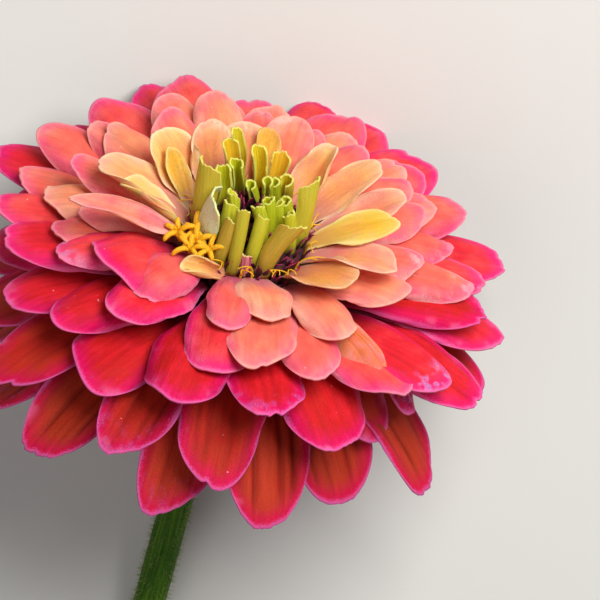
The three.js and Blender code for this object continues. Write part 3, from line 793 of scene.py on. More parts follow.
def multiplied(tree, colour, factor):
    """A colour times a number, which may be over 1."""
    grey = tree.nodes.new("ShaderNodeCombineColor")
    for socket in grey.inputs[:3]:
        tree.links.new(factor, socket)
    return mixed(tree, 1.0, colour, grey.outputs[0], "MULTIPLY")


# %% [markdown]
# ## The finish of a ray
#
# One material paints every ray, from crimson to yellow, by its tint, so that neighbours of unlike tint
# still look like one flower. Each tint has five colours: the blade's middle, a pinker band along its edge,
# a pale line on the very rim, the claw with painted shade at the root and in the grooves, and the duller
# underside.

# %% Colours for each tint
MIDDLE = (
    (0.0, (186, 57, 34)), (0.12, (196, 44, 32)), (0.28, (208, 28, 34)), (0.4, (232, 38, 54)),
    (0.52, (247, 82, 78)), (0.64, (252, 116, 96)), (0.76, (252, 152, 110)), (0.88, (252, 178, 96)),
    (1.0, (250, 190, 54)),
)
BAND = (
    (0.0, (204, 8, 68)), (0.28, (222, 8, 94)), (0.45, (238, 40, 122)), (0.62, (247, 104, 130)),
    (0.78, (250, 172, 142)), (0.9, (252, 204, 130)), (1.0, (250, 210, 92)),
)
RIM = (
    (0.0, (212, 98, 166)), (0.28, (232, 98, 170)), (0.5, (242, 124, 168)), (0.7, (250, 170, 160)),
    (0.88, (253, 220, 180)), (1.0, (253, 228, 150)),
)
# the claw's own colour, darkened and purpled as painted shade at the root, and the grooves' painted shade
CLAW_AND_SHADE = (
    (0.0, (96, 6, 12)), (0.3, (130, 4, 30)), (0.5, (172, 46, 84)), (0.7, (212, 118, 134)),
    (0.85, (222, 148, 124)), (1.0, (228, 172, 90)),
)
BACK = (
    (0.0, (180, 56, 78)), (0.3, (210, 76, 102)), (0.6, (230, 130, 124)), (0.85, (230, 170, 108)),
    (1.0, (214, 204, 78)),
)
print("stops of the five ramps:", [len(stops) for stops in (MIDDLE, BAND, RIM, CLAW_AND_SHADE, BACK)])

# %% [markdown]
# ### Middle, band and claw
#
# The band along the edge fades into the middle's colour over about three millimetres, sooner here and
# later there. Fine streaks run along the blade, because its cells do, so the noise behind them is stretched
# along it. The claw's deep colour is partly its own and partly painted shade, as the claws lie deep among
# the rays, and the grooves are painted with it too, as shade in the creases. A petal is thin and full of
# water, so a little light scatters under its skin, and the skin is velvety rather than glossy.

# %% Petal material, from the middle to the claw
petal, tree, shader = new_material(
    "petal", roughness=0.55, specular_ior_level=0.1, subsurface_weight=0.22, subsurface_scale=0.0012,
)
place = field(tree, "place", "Vector")
clouds = noise(tree, place, 0.22, 2.0)
streaks = noise(tree, scaled(tree, place, 1.1, 0.14, 1.0), 1.0, 3.0)
mottles = noise(tree, scaled(tree, place, 0.9, 0.45, 1.0), 1.0, 4.0)
grain = noise(tree, place, 6.0, 4.0)
rim = field(tree, "rim")
along = field(tree, "along")
tint = maths(tree, "MULTIPLY_ADD", maths(tree, "SUBTRACT", clouds, 0.5), 0.25, field(tree, "tint"))
tint = maths(tree, "MULTIPLY_ADD", maths(tree, "SUBTRACT", mottles, 0.5), 0.09, tint)
band_start = maths(tree, "MULTIPLY_ADD", mottles, -4.0, 2.4)
band_end = maths(tree, "MULTIPLY_ADD", mottles, 5.0, 1.1)
in_band = ease(tree, rim, band_start, band_end)
colour = mixed(tree, in_band, ramp(tree, tint, *BAND), ramp(tree, tint, *MIDDLE))
streaked = ease(tree, streaks, 0.34, 0.66, 0.91, 1.05)
grained = ease(tree, grain, 0.3, 0.7, 0.86, 1.12)
colour = multiplied(tree, colour, maths(tree, "MULTIPLY", streaked, grained))
# painted shade: the grooves take the claw's deep colour, as shade in the creases
furrow = maths(tree, "MULTIPLY", field(tree, "furrow"), 0.85)
colour = mixed(tree, furrow, colour, ramp(tree, tint, *CLAW_AND_SHADE))
# the claw: partly its own deep colour, partly painted shade where the roots lie deep among the rays
colour = mixed(tree, ease(tree, along, 0.2, 0.58), ramp(tree, tint, *CLAW_AND_SHADE), colour)
print("nodes so far:", len(tree.nodes))

# %% [markdown]
# ### Bloom, bruises and the rim
#
# Sun and rain leave their marks. Some rays have a pinkish bloom on the middle, the bleached tips are lilac
# and speckled, and every rim is paler than the blade. Withered rays turn brown. Each mark is mixed over the
# colour so far, so that it keeps the streaks beneath it.

# %% Petal material, the marks on it
PINK_BLOOM = rgb(222, 140, 180)
BLEACHED = rgb(244, 216, 232)
WITHERED = rgb(216, 112, 24)
SPECK = rgb(250, 225, 235)
BRUISE = ((0.3, (186, 80, 170)), (0.6, (232, 146, 168)), (0.8, (252, 228, 200)))

bloomed = ease(tree, clouds, 0.6, 0.72, 0.0, 0.3)
bloomed = maths(tree, "MULTIPLY", bloomed, ease(tree, rim, 2.6, 0.6))
colour = mixed(tree, bloomed, colour, PINK_BLOOM)
bruised = mixed(tree, ease(tree, grain, 0.56, 0.72), ramp(tree, tint, *BRUISE), BLEACHED)
tip = maths(tree, "MULTIPLY", field(tree, "bruise"), ease(tree, along, 0.84, 0.97))
tip = maths(tree, "MULTIPLY", tip, ease(tree, noise(tree, place, 0.45, 5.0), 0.47, 0.6, 0.0, 0.8))
colour = mixed(tree, tip, colour, bruised)
rim_end = maths(tree, "MULTIPLY_ADD", grain, 2.6, -0.35)
colour = mixed(tree, ease(tree, rim, 0.05, rim_end, 0.85, 0.0), colour, ramp(tree, tint, *RIM))
under = maths(tree, "MULTIPLY", field(tree, "under"), 0.75)
colour = mixed(tree, under, colour, ramp(tree, tint, *BACK))
browned = maths(tree, "MULTIPLY", field(tree, "brown"), ease(tree, mottles, 0.35, 0.6, 0.5, 1.0))
colour = mixed(tree, browned, colour, WITHERED)
specks = ease(tree, noise(tree, place, 1.7, 0.0), 0.87, 0.9, 0.0, 0.5)
colour = mixed(tree, specks, colour, SPECK)
put(tree, shader.inputs["Base Color"], colour)
bump(tree, shader, maths(tree, "MULTIPLY_ADD", grain, 0.5, streaks), 0.0004, 0.6)
print("nodes of the petal material:", len(tree.nodes))

# %% [markdown]
# ## The rays
#
# The lower rows droop, the middle ones spread, and the upper ones stand. Their solids have the same place,
# but are thicker than a real ray, because very thin solids are hard to join. Here the blades are 0.4 mm
# thick, and thin out to an edge of 0.14 mm by the fourth power of b.

# %% Four pieces of rays
STATIONS = 28
COLUMNS = 49
RAY_THICKNESS = 0.4
EDGE_THICKNESS = 0.14


def make_rays(name, row_numbers, node):
    """The rays of these rows as one piece. They are as thick as the edge, plus the rest times 1 - b⁴."""
    middle, fields = ray_surface(ray_numbers(row_numbers), STATIONS, COLUMNS)
    b = np.sin(np.linspace(-np.pi / 2, np.pi / 2, COLUMNS))
    thickness = EDGE_THICKNESS + (RAY_THICKNESS - EDGE_THICKNESS) * (1 - b**4)
    middle = above_floor(laid_down(middle), RAY_THICKNESS / 2)
    return make_shells(name, blade_rings(middle, thickness), node, petal, fields)


make_rays("drooping_rays", (0, 1), "crimson_rays")
make_rays("spreading_rays", (2, 3), "crimson_rays")
make_rays("rising_rays", (4, 5), "coral_rays")
make_rays("peach_rays", (6,), "coral_rays")

# %% [markdown]
# ## Quills
#
# The youngest rays in the middle are still rolled up lengthwise, as a leaf is in its bud. They are the same
# blades with a section that goes most of the way round, and they open towards the bloom's axis. Those on
# the far side show their golden insides, and those on the near side their olive backs. Each has its
# azimuth, foot radius and foot height, its height, how far its top leans outwards and sideways, the width
# of its blade, how far round it rolls in radians, the part of that which it loses at its tip, and its tint
# from lime to gold.

# %% Young rolled rays
QUILLS = np.array([
    (-74, 10.2, 1.2, 12, 0.2, -3.6, 6.8, 3.3, 0.3, 0.58), (-112, 7.4, 2, 9.5, 1.5, 0, 5.5, 4.5, 0.1, 0.2),
    (-145, 7.6, 2, 9.8, 0.7, 1.4, 6, 5, 0, 0.1), (216, 9.8, 1.6, 13, 1.1, 2.6, 4.6, 3.8, 0.4, 0.85),
    (205, 10.7, 1.6, 14.4, 0.9, 3, 3.0, 3, 0.4, 0.45), (183, 7.7, 2, 12.8, 0.2, 2.4, 5, 4.6, 0.25, 0.6),
    (168, 11, 1.6, 9.5, 1.2, 0.5, 4.8, 3.6, 0.3, 0.9), (184, 4.5, 2.6, 7, -0.6, 1.5, 4.6, 5.3, 0, 0.08),
    (161, 6.1, 2.6, 7.5, -0.8, 1.1, 4.6, 5.3, 0, 0.12), (150, 7.6, 2, 7.5, -1, 0.5, 4.6, 5.3, 0, 0.15),
    (144, 9.6, 1.8, 8.5, -1.2, -0.2, 5.5, 4.8, 0.1, 0.5), (57, 5.4, 2, 9.5, -2, 0.2, 7, 5.2, 0, 0.08),
    (100, 7.3, 2, 8.5, -1.5, -0.2, 5.6, 5, 0, 0.16), (88, 10.4, 0.9, 12, -1.2, 4.5, 6.2, 3.5, 0.35, 0.52),
    (26, 12, 0.3, 11.6, -1, 4.1, 6.8, 4.3, 0.4, 0.8),
    (-19, 12.5, 0.3, 10.4, -2.2, -0.2, 5.8, 4.6, 0.1, 0.75),
    (-3, 12.5, 0.3, 13.1, -3.2, -0.9, 4.7, 4.8, 0.1, 0.5),
    (26, 7.6, 1.8, 10.2, -2.2, -1.8, 4.9, 4.9, 0.1, 0.2),
    (-25, 9.6, 1.5, 10, -2, -1.8, 5.6, 5, 0.1, 0.32),
    (-58, 10.6, 0.9, 10.4, -1.4, -0.4, 10.5, 2, 0.2, 0.3),
    (-38, 5.7, 2.2, 8.6, -0.5, -2.8, 5, 5, 0, 0.24), (72, 5.9, 2.2, 8, -1.2, 1.1, 4.8, 5, 0, 0.18),
    (64, 9.6, 1.4, 8.8, -2, 0.4, 5.2, 4.8, 0, 0.3), (8, 10.6, 0.9, 10.5, -3.2, 0.3, 5.4, 4.9, 0.05, 0.4),
    (5, 11.8, 0.2, 4.6, -0.6, -0.6, 3.8, 3.8, 0.1, 0.9),
])
TURNED_QUILL = 0  # one opens towards the far side
PALE_QUILL = 19  # one has faded
WITHERED_QUILL = 24  # and one has withered
QUILL_SIZE = (20, 33)
QUILL_THICKNESS = 0.4

azimuth, foot, foot_z, height, lean, aside, width, roll, unroll, tint = QUILLS.T
numbers = np.arange(len(QUILLS))
middle, fields = ray_surface(dict(
    azimuth=azimuth, root_r=foot, root_z=foot_z, tip_r=foot + lean, tip_z=foot_z + height, sway=aside,
    rise=88, claw=0.6, rounding=spread(numbers, 1, 0.04, 0.12), width=width, curl=roll / width,
    unroll=unroll, turn=spread(numbers, 2, -25, 25) + np.where(numbers == TURNED_QUILL, 75, 0),
    twist=spread(numbers, 3, -30, 30), teeth=spread(numbers, 4, 0.01, 0.03), phase=draw(numbers, 5),
    ruffle=spread(numbers, 6, 0, 0.2), wobble=0.02, furrow=0.12, tint=tint, number=numbers,
), *QUILL_SIZE)
fields["pale"] = (numbers == PALE_QUILL)[:, None, None]
fields["withered"] = (numbers == WITHERED_QUILL)[:, None, None]
print("heights of the quills in mm:", height.min(), "to", height.max())

# %% [markdown]
# ### The quills' finish
#
# A quill is lime when it is young and gold when it is about to open. Its two faces have ramps of their
# own: the inside is golden, and brighter still as painted light that shines through the thin blade. Olive
# fibres and a foot darkened with painted shade, where the quills crowd together, keep the tubes apart, and
# painted shade darkens the grooves too.

# %% Quill material
OUTSIDE = ((0.0, (170, 190, 20)), (0.35, (196, 196, 44)), (0.7, (190, 164, 50)), (1.0, (198, 152, 58)))
# the inside: partly the quill's own gold, partly painted light for the light that shines through the blade
INSIDE_WITH_PAINTED_LIGHT = (
    (0.0, (196, 210, 16)), (0.4, (226, 212, 50)), (0.6, (244, 214, 40)), (0.8, (252, 208, 40)),
    (1.0, (254, 196, 60)),
)
FIBRE = rgb(132, 112, 20)
# painted shade for the quills' grooves
GROOVE_SHADE = rgb(120, 124, 20)
# painted shade for the quills' feet
FOOT_SHADE = rgb(124, 118, 36)
FADED = rgb(232, 238, 206)
CUT_EDGE = rgb(238, 234, 130)
SHRIVELLED = ((0.35, (176, 70, 96)), (0.6, (226, 150, 150)))

quill_skin, tree, shader = new_material(
    "quill", roughness=0.5, specular_ior_level=0.3, subsurface_weight=0.3, subsurface_scale=0.0015,
)
place = field(tree, "place", "Vector")
streaks = noise(tree, scaled(tree, place, 3.2, 0.2, 1.0), 1.0, 3.0)
grain = noise(tree, place, 5.0, 3.0)
tint = maths(tree, "MULTIPLY_ADD", maths(tree, "SUBTRACT", streaks, 0.5), 0.5, field(tree, "tint"))
# the inside face takes the brighter ramp, which holds painted light
colour = mixed(tree, field(tree, "under"), ramp(tree, tint, *INSIDE_WITH_PAINTED_LIGHT), ramp(tree, tint, *OUTSIDE))
fibres = ease(tree, streaks, 0.36, 0.6, 0.4, 0.0)
fibres = maths(tree, "MULTIPLY", fibres, ease(tree, grain, 0.35, 0.6, 1.0, 0.4))
colour = mixed(tree, fibres, colour, FIBRE)
# painted shade: darker olive in the grooves
colour = mixed(tree, maths(tree, "MULTIPLY", field(tree, "furrow"), 0.35), colour, GROOVE_SHADE)
# painted shade: darker towards the foot, where the quills crowd together
colour = mixed(tree, ease(tree, field(tree, "along"), 0.0, 0.45, 0.75, 0.0), colour, FOOT_SHADE)
faded = maths(tree, "MULTIPLY", field(tree, "pale"), ease(tree, grain, 0.35, 0.55, 0.5, 0.95))
colour = mixed(tree, faded, colour, FADED)
colour = mixed(tree, field(tree, "withered"), colour, ramp(tree, streaks, *SHRIVELLED))
colour = mixed(tree, ease(tree, field(tree, "rim"), 0.03, 0.2, 0.6, 0.0), colour, CUT_EDGE)
put(tree, shader.inputs["Base Color"], colour)
bump(tree, shader, maths(tree, "MULTIPLY_ADD", grain, 0.5, streaks), 0.0003, 0.6)

rings = laid_down(blade_rings(middle, QUILL_THICKNESS))
make_shells("quilled_petals", rings, "quilled_rays", quill_skin, fields)

# %% [markdown]
# ## The disc
#
# The disc is a low dome, like a cushion, which carries everything in the middle of the bloom. It is a round
# skin, a little off the bloom's axis: its profile falls off as the square of the radius, then turns down at
# the rim.

# %% Cushion
DISC_RADIUS = 10.9
DISC_SHIFT = 1.1  # towards the near side
DISC_RIM_Z = 1.2
DISC_RISE = 2.6
DISC_AROUND = 48
CUSHION = ((0.3, (28, 4, 10)), (0.6, (66, 8, 22)), (0.8, (110, 40, 36)))


def disc_height(radius):
    """The height of the dome: that of its rim, and the rise times 1 - (radius / disc radius)²."""
    return DISC_RIM_Z + DISC_RISE * (1 - (radius / DISC_RADIUS) ** 2)


def rim_radius(azimuth):
    """How far the disc's edge is from the axis, on a circle that is a little off centre."""
    return DISC_RADIUS + DISC_SHIFT * np.cos(np.radians(azimuth))


radius = np.array([10.4, 10.7, 10.9, 10.7, 10.3, 9.6, 8.8, 7.8, 6.5, 5, 3.5, 2, 1, 0.3])
z = np.concatenate([[-0.4, 0.2, 0.8], disc_height(radius[3:])])
path = np.stack([0 * z, 0 * z - DISC_SHIFT, z], -1)[None]
cushion = tube_rings(path, radius[None, :, None], DISC_AROUND, (1, 0, 0))

dark, tree, shader = new_material("disc cushion", roughness=0.8)
lumps = noise(tree, field(tree, "spot", "Vector"), 1.2, 3.0)
put(tree, shader.inputs["Base Color"], ramp(tree, lumps, *CUSHION))
make_shells("disc_cushion", laid_down(cushion), "disc", dark, {"spot": cushion})

# %% [markdown]
# ### Chaff
#
# The dome is crowded with chaff: narrow folded scales, dark maroon with fringed purplish tips, one for each
# floret. On the dome they follow the spiral with the golden angle between neighbours, as they do on every
# daisy: the radius grows as the square root of the number. They also stand in tiers between the roots of
# the upper rays, where they are longest on the near side.

# %% Scales of chaff
GOLDEN_ANGLE_DEG = 137.5
DISC_SCALES = 150
EDGE_SCALES = 34
EDGE_TIERS = ((0.1, 0.2, 4.2), (0.5, -2.0, 3.6), (0.9, -4.2, 4.0))  # past the rim, height and length
CHAFF_THICKNESS = 0.2
CHAFF_SIZE = (4, 7)
CHAFF = ((0.0, (26, 4, 8)), (0.5, (40, 4, 14)), (0.8, (84, 6, 38)), (1.0, (168, 36, 88)))

spiral = np.arange(DISC_SCALES)
spiral_r = 0.97 * np.sqrt((spiral + 1) / DISC_SCALES)
edge = np.arange(EDGE_SCALES * len(EDGE_TIERS))
past_rim, edge_z, edge_length = np.array(EDGE_TIERS)[edge // EDGE_SCALES].T
edge_azimuth = edge * 360 / EDGE_SCALES + 9 * spread(edge, 31, -1, 1)
azimuth = np.concatenate([spiral * GOLDEN_ANGLE_DEG, edge_azimuth])
foot = np.concatenate([spiral_r, 1 + past_rim / DISC_RADIUS]) * rim_radius(azimuth)
foot_z = np.concatenate([disc_height(spiral_r * DISC_RADIUS) - 0.4, edge_z])
near = (1 + np.cos(np.radians(azimuth[DISC_SCALES:]))) / 2
edge_length = edge_length * (0.3 + 0.6 * near) * spread(edge, 33, 0.8, 1.15)
length = np.concatenate([spread(spiral, 32, 4.2, 2.4) * (1.1 - 0.4 * spiral_r), edge_length])
numbers = np.arange(len(azimuth))
middle, fields = ray_surface(dict(
    azimuth=azimuth, root_r=foot, root_z=foot_z, tip_r=foot + spread(numbers, 34, -0.3, 1.3),
    tip_z=foot_z + length, rise=86, width=spread(numbers, 35, 1.0, 1.8), curl=0.9, claw=0.8, taper=0.5,
    rounding=0.4, teeth=0.2, phase=draw(numbers, 36), sway=spread(numbers, 37, -0.8, 0.8), number=numbers,
), *CHAFF_SIZE)

chaff, tree, shader = new_material("chaff", roughness=0.6)
put(tree, shader.inputs["Base Color"], ramp(tree, field(tree, "along"), *CHAFF))
make_shells("chaff_scales", laid_down(blade_rings(middle, CHAFF_THICKNESS)), "disc", chaff, fields)

# %% [markdown]
# ### Florets
#
# The disc's own florets open one after the other, here five at its left edge. Each is a little golden tube
# whose rim parts into five thick lobes that bend over like a fountain. Two threads stand in its middle. All
# of them are tubes round a path. A lobe's path is an arc of radius bend, through the angle turned, and its
# radius closes as a quarter circle does.

# %% Golden florets
FLORETS = np.array([(-57, 13.8), (-55, 10.4), (-43, 11.9), (-28, 11.5), (-38, 14.0)])  # azimuth and radius
FLORET_FOOT_Z = 0.8
FLORET_TILT = math.radians(22)  # outwards
LOBES = 5
THREADS = 2
PARTS = LOBES + 1 + THREADS
NUMBERS_PER_FLORET = 9  # keeps the draws of their parts apart
QUARTER_TURN = 1.57
FLORET_SIZE = (12, 10)  # points along each path, and round it
GOLD = ((0.25, (232, 144, 4)), (0.5, (252, 186, 8)), (0.75, (254, 216, 40)))

floret = np.repeat(np.arange(len(FLORETS)), PARTS)
part = np.tile(np.arange(PARTS), len(FLORETS))
own = floret * NUMBERS_PER_FLORET + part
is_lobe = (part < LOBES)[:, None]
is_tube = (part == LOBES)[:, None]
is_thread = (part > LOBES)[:, None]
t = np.linspace(0, 1, FLORET_SIZE[0])[None, :]
heading = np.radians(360 / LOBES * part + 360 * draw(floret, 41) + spread(own, 46, -14, 14))[:, None]
size = spread(floret, 42, 0.95, 1.2)[:, None]
bend = np.where(is_lobe, spread(own, 43, 1.2, 1.8)[:, None], 0.6) * size
turned = t * np.where(is_lobe, np.radians(spread(own, 44, 110, 185))[:, None], 1.0)
stand = spread(floret, 45, 1.6, 3.2)[:, None]
reach = np.where(is_tube, 0, 0.25 + bend * (1 - np.cos(turned)))
rise = np.where(is_tube, stand * t, stand - 0.6 + bend * np.sin(turned) + 0.6 * t)
rise = np.where(is_thread, stand + 1.6 * t, rise)
local = np.stack([reach * np.cos(heading), reach * np.sin(heading), rise], -1)
closing = np.sqrt(np.clip(1 - ((t - 0.72) / 0.285).clip(0) ** 2, 0.004, 1))
radius = np.where(is_lobe, (0.38 + 0.16 * smooth(t / 0.5) - 0.1 * t) * closing, 0.2 * closing)
radius = np.where(is_tube, 0.42 + 0.3 * t**2, radius) * size

out, side = outwards(FLORETS[floret, 0]), sideways(FLORETS[floret, 0])
up = AXIS * math.cos(FLORET_TILT) + out * math.sin(FLORET_TILT)
out_tilted = out * math.cos(FLORET_TILT) - AXIS * math.sin(FLORET_TILT)
foot = out * FLORETS[floret, 1][:, None] + AXIS * FLORET_FOOT_Z
path = foot[:, None] + local[..., :1] * side[:, None]
path = path + local[..., 1:2] * out_tilted[:, None] + local[..., 2:] * up[:, None]
away = side * np.cos(heading + QUARTER_TURN) + out_tilted * np.sin(heading + QUARTER_TURN)
rings = tube_rings(path, radius[..., None], FLORET_SIZE[1], away[:, None])

gold, tree, shader = new_material("gold", roughness=0.55, subsurface_weight=0.3, subsurface_scale=0.0008)
fuzz = noise(tree, field(tree, "spot", "Vector"), 5.0, 3.0)
put(tree, shader.inputs["Base Color"], ramp(tree, fuzz, *GOLD))
bump(tree, shader, fuzz, 0.0003, 0.7)
make_shells("disc_florets", laid_down(rings), "disc", gold, {"spot": rings})

# %% [markdown]
# ### Styles
#
# The rays have no stamens, but a style each, a golden thread that leans out over its ray and forks at its
# tip. Each of its two arms is a tube from foot to tip, and the two run side by side as far as the fork.
# They have the florets' golden finish.

# %% Styles
STYLE_AZIMUTHS = np.array([-88, -30, -12, 4, 14, 24, 36, 48, 62, 84, 104, 128, 152, 176, 200, 226, 250])
STYLE_FOOT_Z = -0.8
STYLE_SIZE = (24, 6)

style = np.repeat(np.arange(len(STYLE_AZIMUTHS)), 2)
azimuth = STYLE_AZIMUTHS[style]
arm = np.tile([-1, 1], len(STYLE_AZIMUTHS))[:, None]
t = np.linspace(0, 1, STYLE_SIZE[0])[None, :]
fork = smooth((t - 0.5) / 0.5)
height = spread(style, 51, 4.0, 7.6)[:, None]
lean = spread(style, 52, 0.8, 5.4)[:, None]
parted = arm * (0.09 + spread(style, 53, 0.6, 1.8)[:, None] * fork)
aside = parted + spread(style, 54, -3.5, 3.5)[:, None] * t**2
path = outwards(azimuth)[:, None] * (rim_radius(azimuth)[:, None] + lean * t**2)[..., None]
path = path + AXIS * (STYLE_FOOT_Z + height * (1.3 * t - 0.75 * t**2.4))[..., None]
path = path + sideways(azimuth)[:, None] * aside[..., None]
rings = tube_rings(path, (0.15 - 0.07 * t**3)[..., None], STYLE_SIZE[1], sideways(azimuth)[:, None] + 0.01)
make_shells("styles", laid_down(rings), "disc", gold, {"spot": rings})

# %% [markdown]
# ## Seeds
#
# Every ray stands on a seed of its own, and the seeds are packed round the receptacle, the swollen end of
# the stem. They show only where two rays part. Each is a plump spindle, whose radius is nearly half a sine
# wave.

# %% Seeds under the rays
SEED_FROM = 9.2  # radius of its inner end
SEED_LENGTH = 4.6
SEED_BELOW_ROOT = 1.7
SEED_RISE = 1.5
SEED_SIZE = (6, 8)


def make_seeds(name, row_numbers, node):
    """A seed under each ray of the rows. Its radius is 0.2 + 1.25 · (sin πt) to the power 0.8, in mm."""
    p = ray_numbers(row_numbers)
    t = np.linspace(0, 1, SEED_SIZE[0])[None, :]
    path = outwards(p["azimuth"])[:, None] * (SEED_FROM + SEED_LENGTH * t)[..., None]
    path = path + AXIS * (p["root_z"][:, None] - SEED_BELOW_ROOT + SEED_RISE * t)[..., None]
    radius = 0.2 + 1.25 * np.sin(np.pi * t) ** 0.8
    rings = tube_rings(path, radius[..., None], SEED_SIZE[1], AXIS)
    make_shells(name, laid_down(rings), node, seed)


seed, tree, shader = new_material("seed", base_color=rgb(122, 84, 58), roughness=0.7)
make_seeds("lower_seeds", (0, 1, 2, 3), "crimson_rays")
make_seeds("upper_seeds", (4, 5, 6), "coral_rays")

# %% [markdown]
# ## Stem
#
# The stem leaves the head straight, then bends until it lies along the floor. Its middle line is first
# taken straight down and then bent: an arc of 70 mm, and 12 mm straight on to the cut. Bending the points
# after they are made keeps the ribs and hairs simple.

# %% The stem's bend
STEM_STRAIGHT_Z = -50
BEND_LENGTH = 70
END_LENGTH = 12
STEM_END_Z = STEM_STRAIGHT_Z - BEND_LENGTH - END_LENGTH


def bent(points):
    """Points round a straight stem to where the bent one has them: the depth below the bend's start becomes
    an angle on an arc of radius length / tilt, and past the arc the stem runs straight on."""
    down = np.maximum(0, STEM_STRAIGHT_Z - points[..., 2])
    radius = BEND_LENGTH / TILT
    turn = np.minimum(down, BEND_LENGTH) / radius
    past = np.maximum(0, down - BEND_LENGTH)
    y = points[..., 1] * np.cos(turn) - radius * (1 - np.cos(turn)) - past * np.sin(turn)
    z = np.maximum(points[..., 2], STEM_STRAIGHT_Z) - radius * np.sin(turn) - past * np.cos(turn)
    return np.stack([points[..., 0], y, z - points[..., 1] * np.sin(turn)], -1)


print("the cut end in mm:", np.round(laid_down(bent(np.array([0.0, 0.0, STEM_END_Z]))), 1).tolist())

# %% [markdown]
# ### Skin and receptacle
#
# Above, the stem swells into the receptacle, the core that all the rays stand round. Its top lies deep in
# the head, so it is painted dark red as shade. One profile of radii and heights gives the whole skin. Nine
# shallow ribs run along it: each ring's radius is multiplied by 1 + a small cosine of nine times the angle.
# The cut is paler than the skin.

# %% Stem skin
RIBS = 9
RIB_DEPTH = 0.025  # as a part of the radius
RIBS_TOP_Z = -32
RIBS_FADE = 6  # they are full this far below their top
CORE_FROM_Z = -24
CORE_FADE = 5
CUT_HEIGHT = 0.2  # how far up the cut's colour reaches
CUT_FADE = 0.15
STEM_AROUND = 72
STEM_GREENS = ((0.3, (36, 72, 2)), (0.5, (58, 100, 6)), (0.7, (92, 130, 20)))
CUT_GREEN = rgb(176, 190, 120)
# painted shade for the receptacle's top, deep inside the head
CORE_SHADE = rgb(84, 12, 22)

profile = np.array([
    (2.1, STEM_END_Z), (2.85, STEM_END_Z + 0.05), (2.97, STEM_END_Z + 0.3), (3, STEM_END_Z + 0.6),
    *((3, z) for z in np.linspace(STEM_END_Z + 4, STEM_STRAIGHT_Z, 24)),
    (3.02, -45), (3.06, -40), (3.15, -36), (3.3, -33), (3.6, -30.5), (4.3, -28.5), (5.6, -26), (7, -23.4),
    (8.1, -21), (8.7, -18), (9.2, -14), (9.5, -8), (9.5, -4), (9.4, -1), (9.2, -0.6), (4, -0.5),
])
path = np.stack([0 * profile[:, 1], 0 * profile[:, 1], profile[:, 1]], -1)[None]
ribbed = smooth((RIBS_TOP_Z - profile[:, 1]) / RIBS_FADE)[None, :, None]
ribs = 1 + RIB_DEPTH * ribbed * np.cos(RIBS * tube_angles(STEM_AROUND))
rings = tube_rings(path, profile[None, :, 0, None] * ribs, STEM_AROUND, (1, 0, 0))
cut = smooth((STEM_END_Z + CUT_HEIGHT - rings[..., 2]) / CUT_FADE)
# where the receptacle's top is painted with shade, from CORE_FROM_Z up
core_shade = smooth((rings[..., 2] - CORE_FROM_Z) / CORE_FADE)

green, tree, shader = new_material(
    "stem", roughness=0.6, specular_ior_level=0.2, subsurface_weight=0.1, subsurface_scale=0.001,
)
spot = field(tree, "spot", "Vector")
streaks = noise(tree, scaled(tree, spot, 1.4, 1.4, 0.08), 1.0, 3.0)
grain = noise(tree, spot, 3.0, 3.0)
colour = ramp(tree, streaks, *STEM_GREENS)
colour = mixed(tree, field(tree, "cut"), colour, CUT_GREEN)
# painted shade: the receptacle's top is dark red, deep in the head
colour = mixed(tree, field(tree, "core_shade"), colour, CORE_SHADE)
put(tree, shader.inputs["Base Color"], colour)
bump(tree, shader, maths(tree, "MULTIPLY_ADD", grain, 0.6, streaks), 0.0003, 0.5)
skin = above_floor(laid_down(bent(rings)), 0)
make_shells("stem_skin", skin, "stem", green, {"spot": rings, "cut": cut, "core_shade": core_shade})

# %% [markdown]
# ### Hairs
#
# Stiff hairs stand out from the stem all round, and catch the light along its edges. There are thousands,
# so each is the smallest closed tube that tapers: two rings of four points, the first one just under the
# skin.

# %% Stem hairs
HAIRS = 2600
HAIRS_TOP_Z = -33
STEM_RADIUS = 3
HAIR_RADII = (0.055, 0.012)

hair = np.arange(HAIRS)
angle = 2 * np.pi * draw(hair, 61)
foot_z = spread(hair, 62, STEM_END_Z + 1, HAIRS_TOP_Z)
foot = np.stack([STEM_RADIUS * np.cos(angle), STEM_RADIUS * np.sin(angle), foot_z], -1)
direction = foot * (1, 1, 0) / STEM_RADIUS + AXIS * spread(hair, 63, -0.5, 0.5)[:, None]
t = np.array([-0.1, 1.0])[None, :, None]
path = foot[:, None] + direction[:, None] * t * spread(hair, 64, 0.5, 1.3)[:, None, None]
rings = tube_rings(path, np.array(HAIR_RADII)[None, :, None], 4, AXIS)
silver, tree, shader = new_material("hair", base_color=rgb(150, 170, 90), roughness=0.6)
make_shells("stem_hairs", above_floor(laid_down(bent(rings)), 0.01), "stem", silver)

# %% [markdown]
# ## Bracts
#
# Under the rays sits a cup of overlapping scales in three tiers, half a scale apart. They are leathery and
# green, with a thin dark fringed margin, and hug the head: their sections curve inwards. They are the same
# kind of surface as a ray, only short and broad.

# %% Cup of bracts
BRACTS_PER_TIER = 11
BRACT_TIERS = np.array([  # foot radius and height, tip radius and height, rise, width
    (4.2, -31.4, 11.3, -29.4, -6, 8.0),
    (6.6, -30.6, 14.2, -25.4, 8, 9.5),
    (10.3, -27.4, 14.8, -19.9, 24, 10.0),
])
BRACT_THICKNESS = 0.5
BRACT_SIZE = (14, 21)
BRACT_GREENS = ((0.3, (58, 84, 30)), (0.55, (88, 116, 48)), (0.8, (122, 146, 74)))
BRACT_MARGIN = rgb(44, 26, 24)

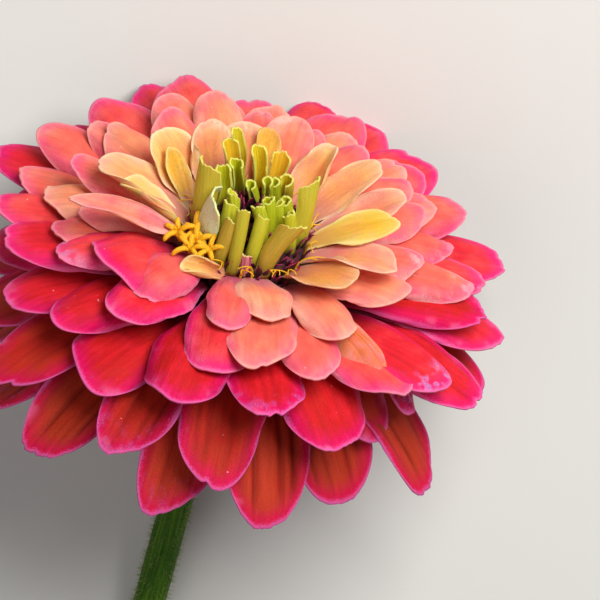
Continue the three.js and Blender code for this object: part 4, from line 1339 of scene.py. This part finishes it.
bract = np.arange(len(BRACT_TIERS) * BRACTS_PER_TIER)
tier = BRACT_TIERS[bract // BRACTS_PER_TIER]
turned = (bract % BRACTS_PER_TIER + 0.5 * (bract // BRACTS_PER_TIER)) * 360 / BRACTS_PER_TIER
middle, fields = ray_surface(dict(
    azimuth=turned + spread(bract, 71, -3, 3), root_r=tier[:, 0], root_z=tier[:, 1], tip_r=tier[:, 2],
    tip_z=tier[:, 3] + spread(bract, 72, -0.5, 0.3), rise=tier[:, 4], width=tier[:, 5], curl=0.085, claw=0.7,
    rounding=0.4, teeth=0.02, phase=draw(bract, 73), ruffle=0.2, twist=spread(bract, 74, -5, 5), number=bract,
), *BRACT_SIZE)

scale, tree, shader = new_material("bract", roughness=0.5, sheen_weight=0.2)
streaks = noise(tree, scaled(tree, field(tree, "place", "Vector"), 2.0, 0.3, 1.0), 1.0, 3.0)
colour = ramp(tree, streaks, *BRACT_GREENS)
colour = mixed(tree, ease(tree, field(tree, "rim"), 0.5, 1.1), BRACT_MARGIN, colour)
put(tree, shader.inputs["Base Color"], colour)
bump(tree, shader, streaks, 0.0003, 0.5)
make_shells("bract_scales", laid_down(blade_rings(middle, BRACT_THICKNESS)), "bracts", scale, fields)

# %% [markdown]
# ## Lights and floor
#
# Petals look best in soft light, which shows their grooves without hard shadows. So a large light stands up
# and to the right of the picture, as a bright sky would, and a weaker one fills in from below and the left.
# The floor is a plain pale sheet.

# %% Studio
KEY = dict(
    towards=to_camera + 0.55 * image_up + 0.36 * to_right, size=0.55, power=10.5, colour=(1, 0.98, 0.95),
)
FILL = dict(
    towards=0.8 * to_camera - 0.6 * image_up - 0.3 * to_right, size=0.8, power=1.7, colour=(1, 1, 1),
)
LIGHT_DISTANCE = 0.9
SKY = (0.95, 0.96, 1.0, 1.0)
SKY_STRENGTH = 0.12
FLOOR_HALF = 3.0

for name, light in (("key", KEY), ("fill", FILL)):
    lamp = bpy.data.lights.new(name, "AREA")
    lamp.size = light["size"]
    lamp.energy = light["power"]
    lamp.color = light["colour"]
    holder = bpy.data.objects.new(name, lamp)
    direction = Vector(light["towards"]).normalized()
    holder.location = Vector(BLOOM_AT * MM) + LIGHT_DISTANCE * direction
    holder.rotation_euler = direction.to_track_quat("Z", "Y").to_euler()
    bpy.context.scene.collection.objects.link(holder)

world = bpy.data.worlds.new("studio")
world.use_nodes = True
world.node_tree.nodes["Background"].inputs["Color"].default_value = SKY
world.node_tree.nodes["Background"].inputs["Strength"].default_value = SKY_STRENGTH
bpy.context.scene.world = world
bpy.context.scene.view_settings.view_transform = "Standard"

floor_finish, tree, shader = new_material("floor", base_color=rgb(222, 221, 217), roughness=0.9)
corners = [(-1, -1, 0), (1, -1, 0), (1, 1, 0), (-1, 1, 0)]
sheet = bpy.data.meshes.new("floor")
sheet.from_pydata(np.array(corners) * FLOOR_HALF, [], [(0, 1, 2, 3)])
sheet.materials.append(floor_finish)
floor = bpy.data.objects.new("floor", sheet)
bpy.context.scene.collection.objects.link(floor)
print("power of the lights in W:", KEY["power"], "and", FILL["power"])
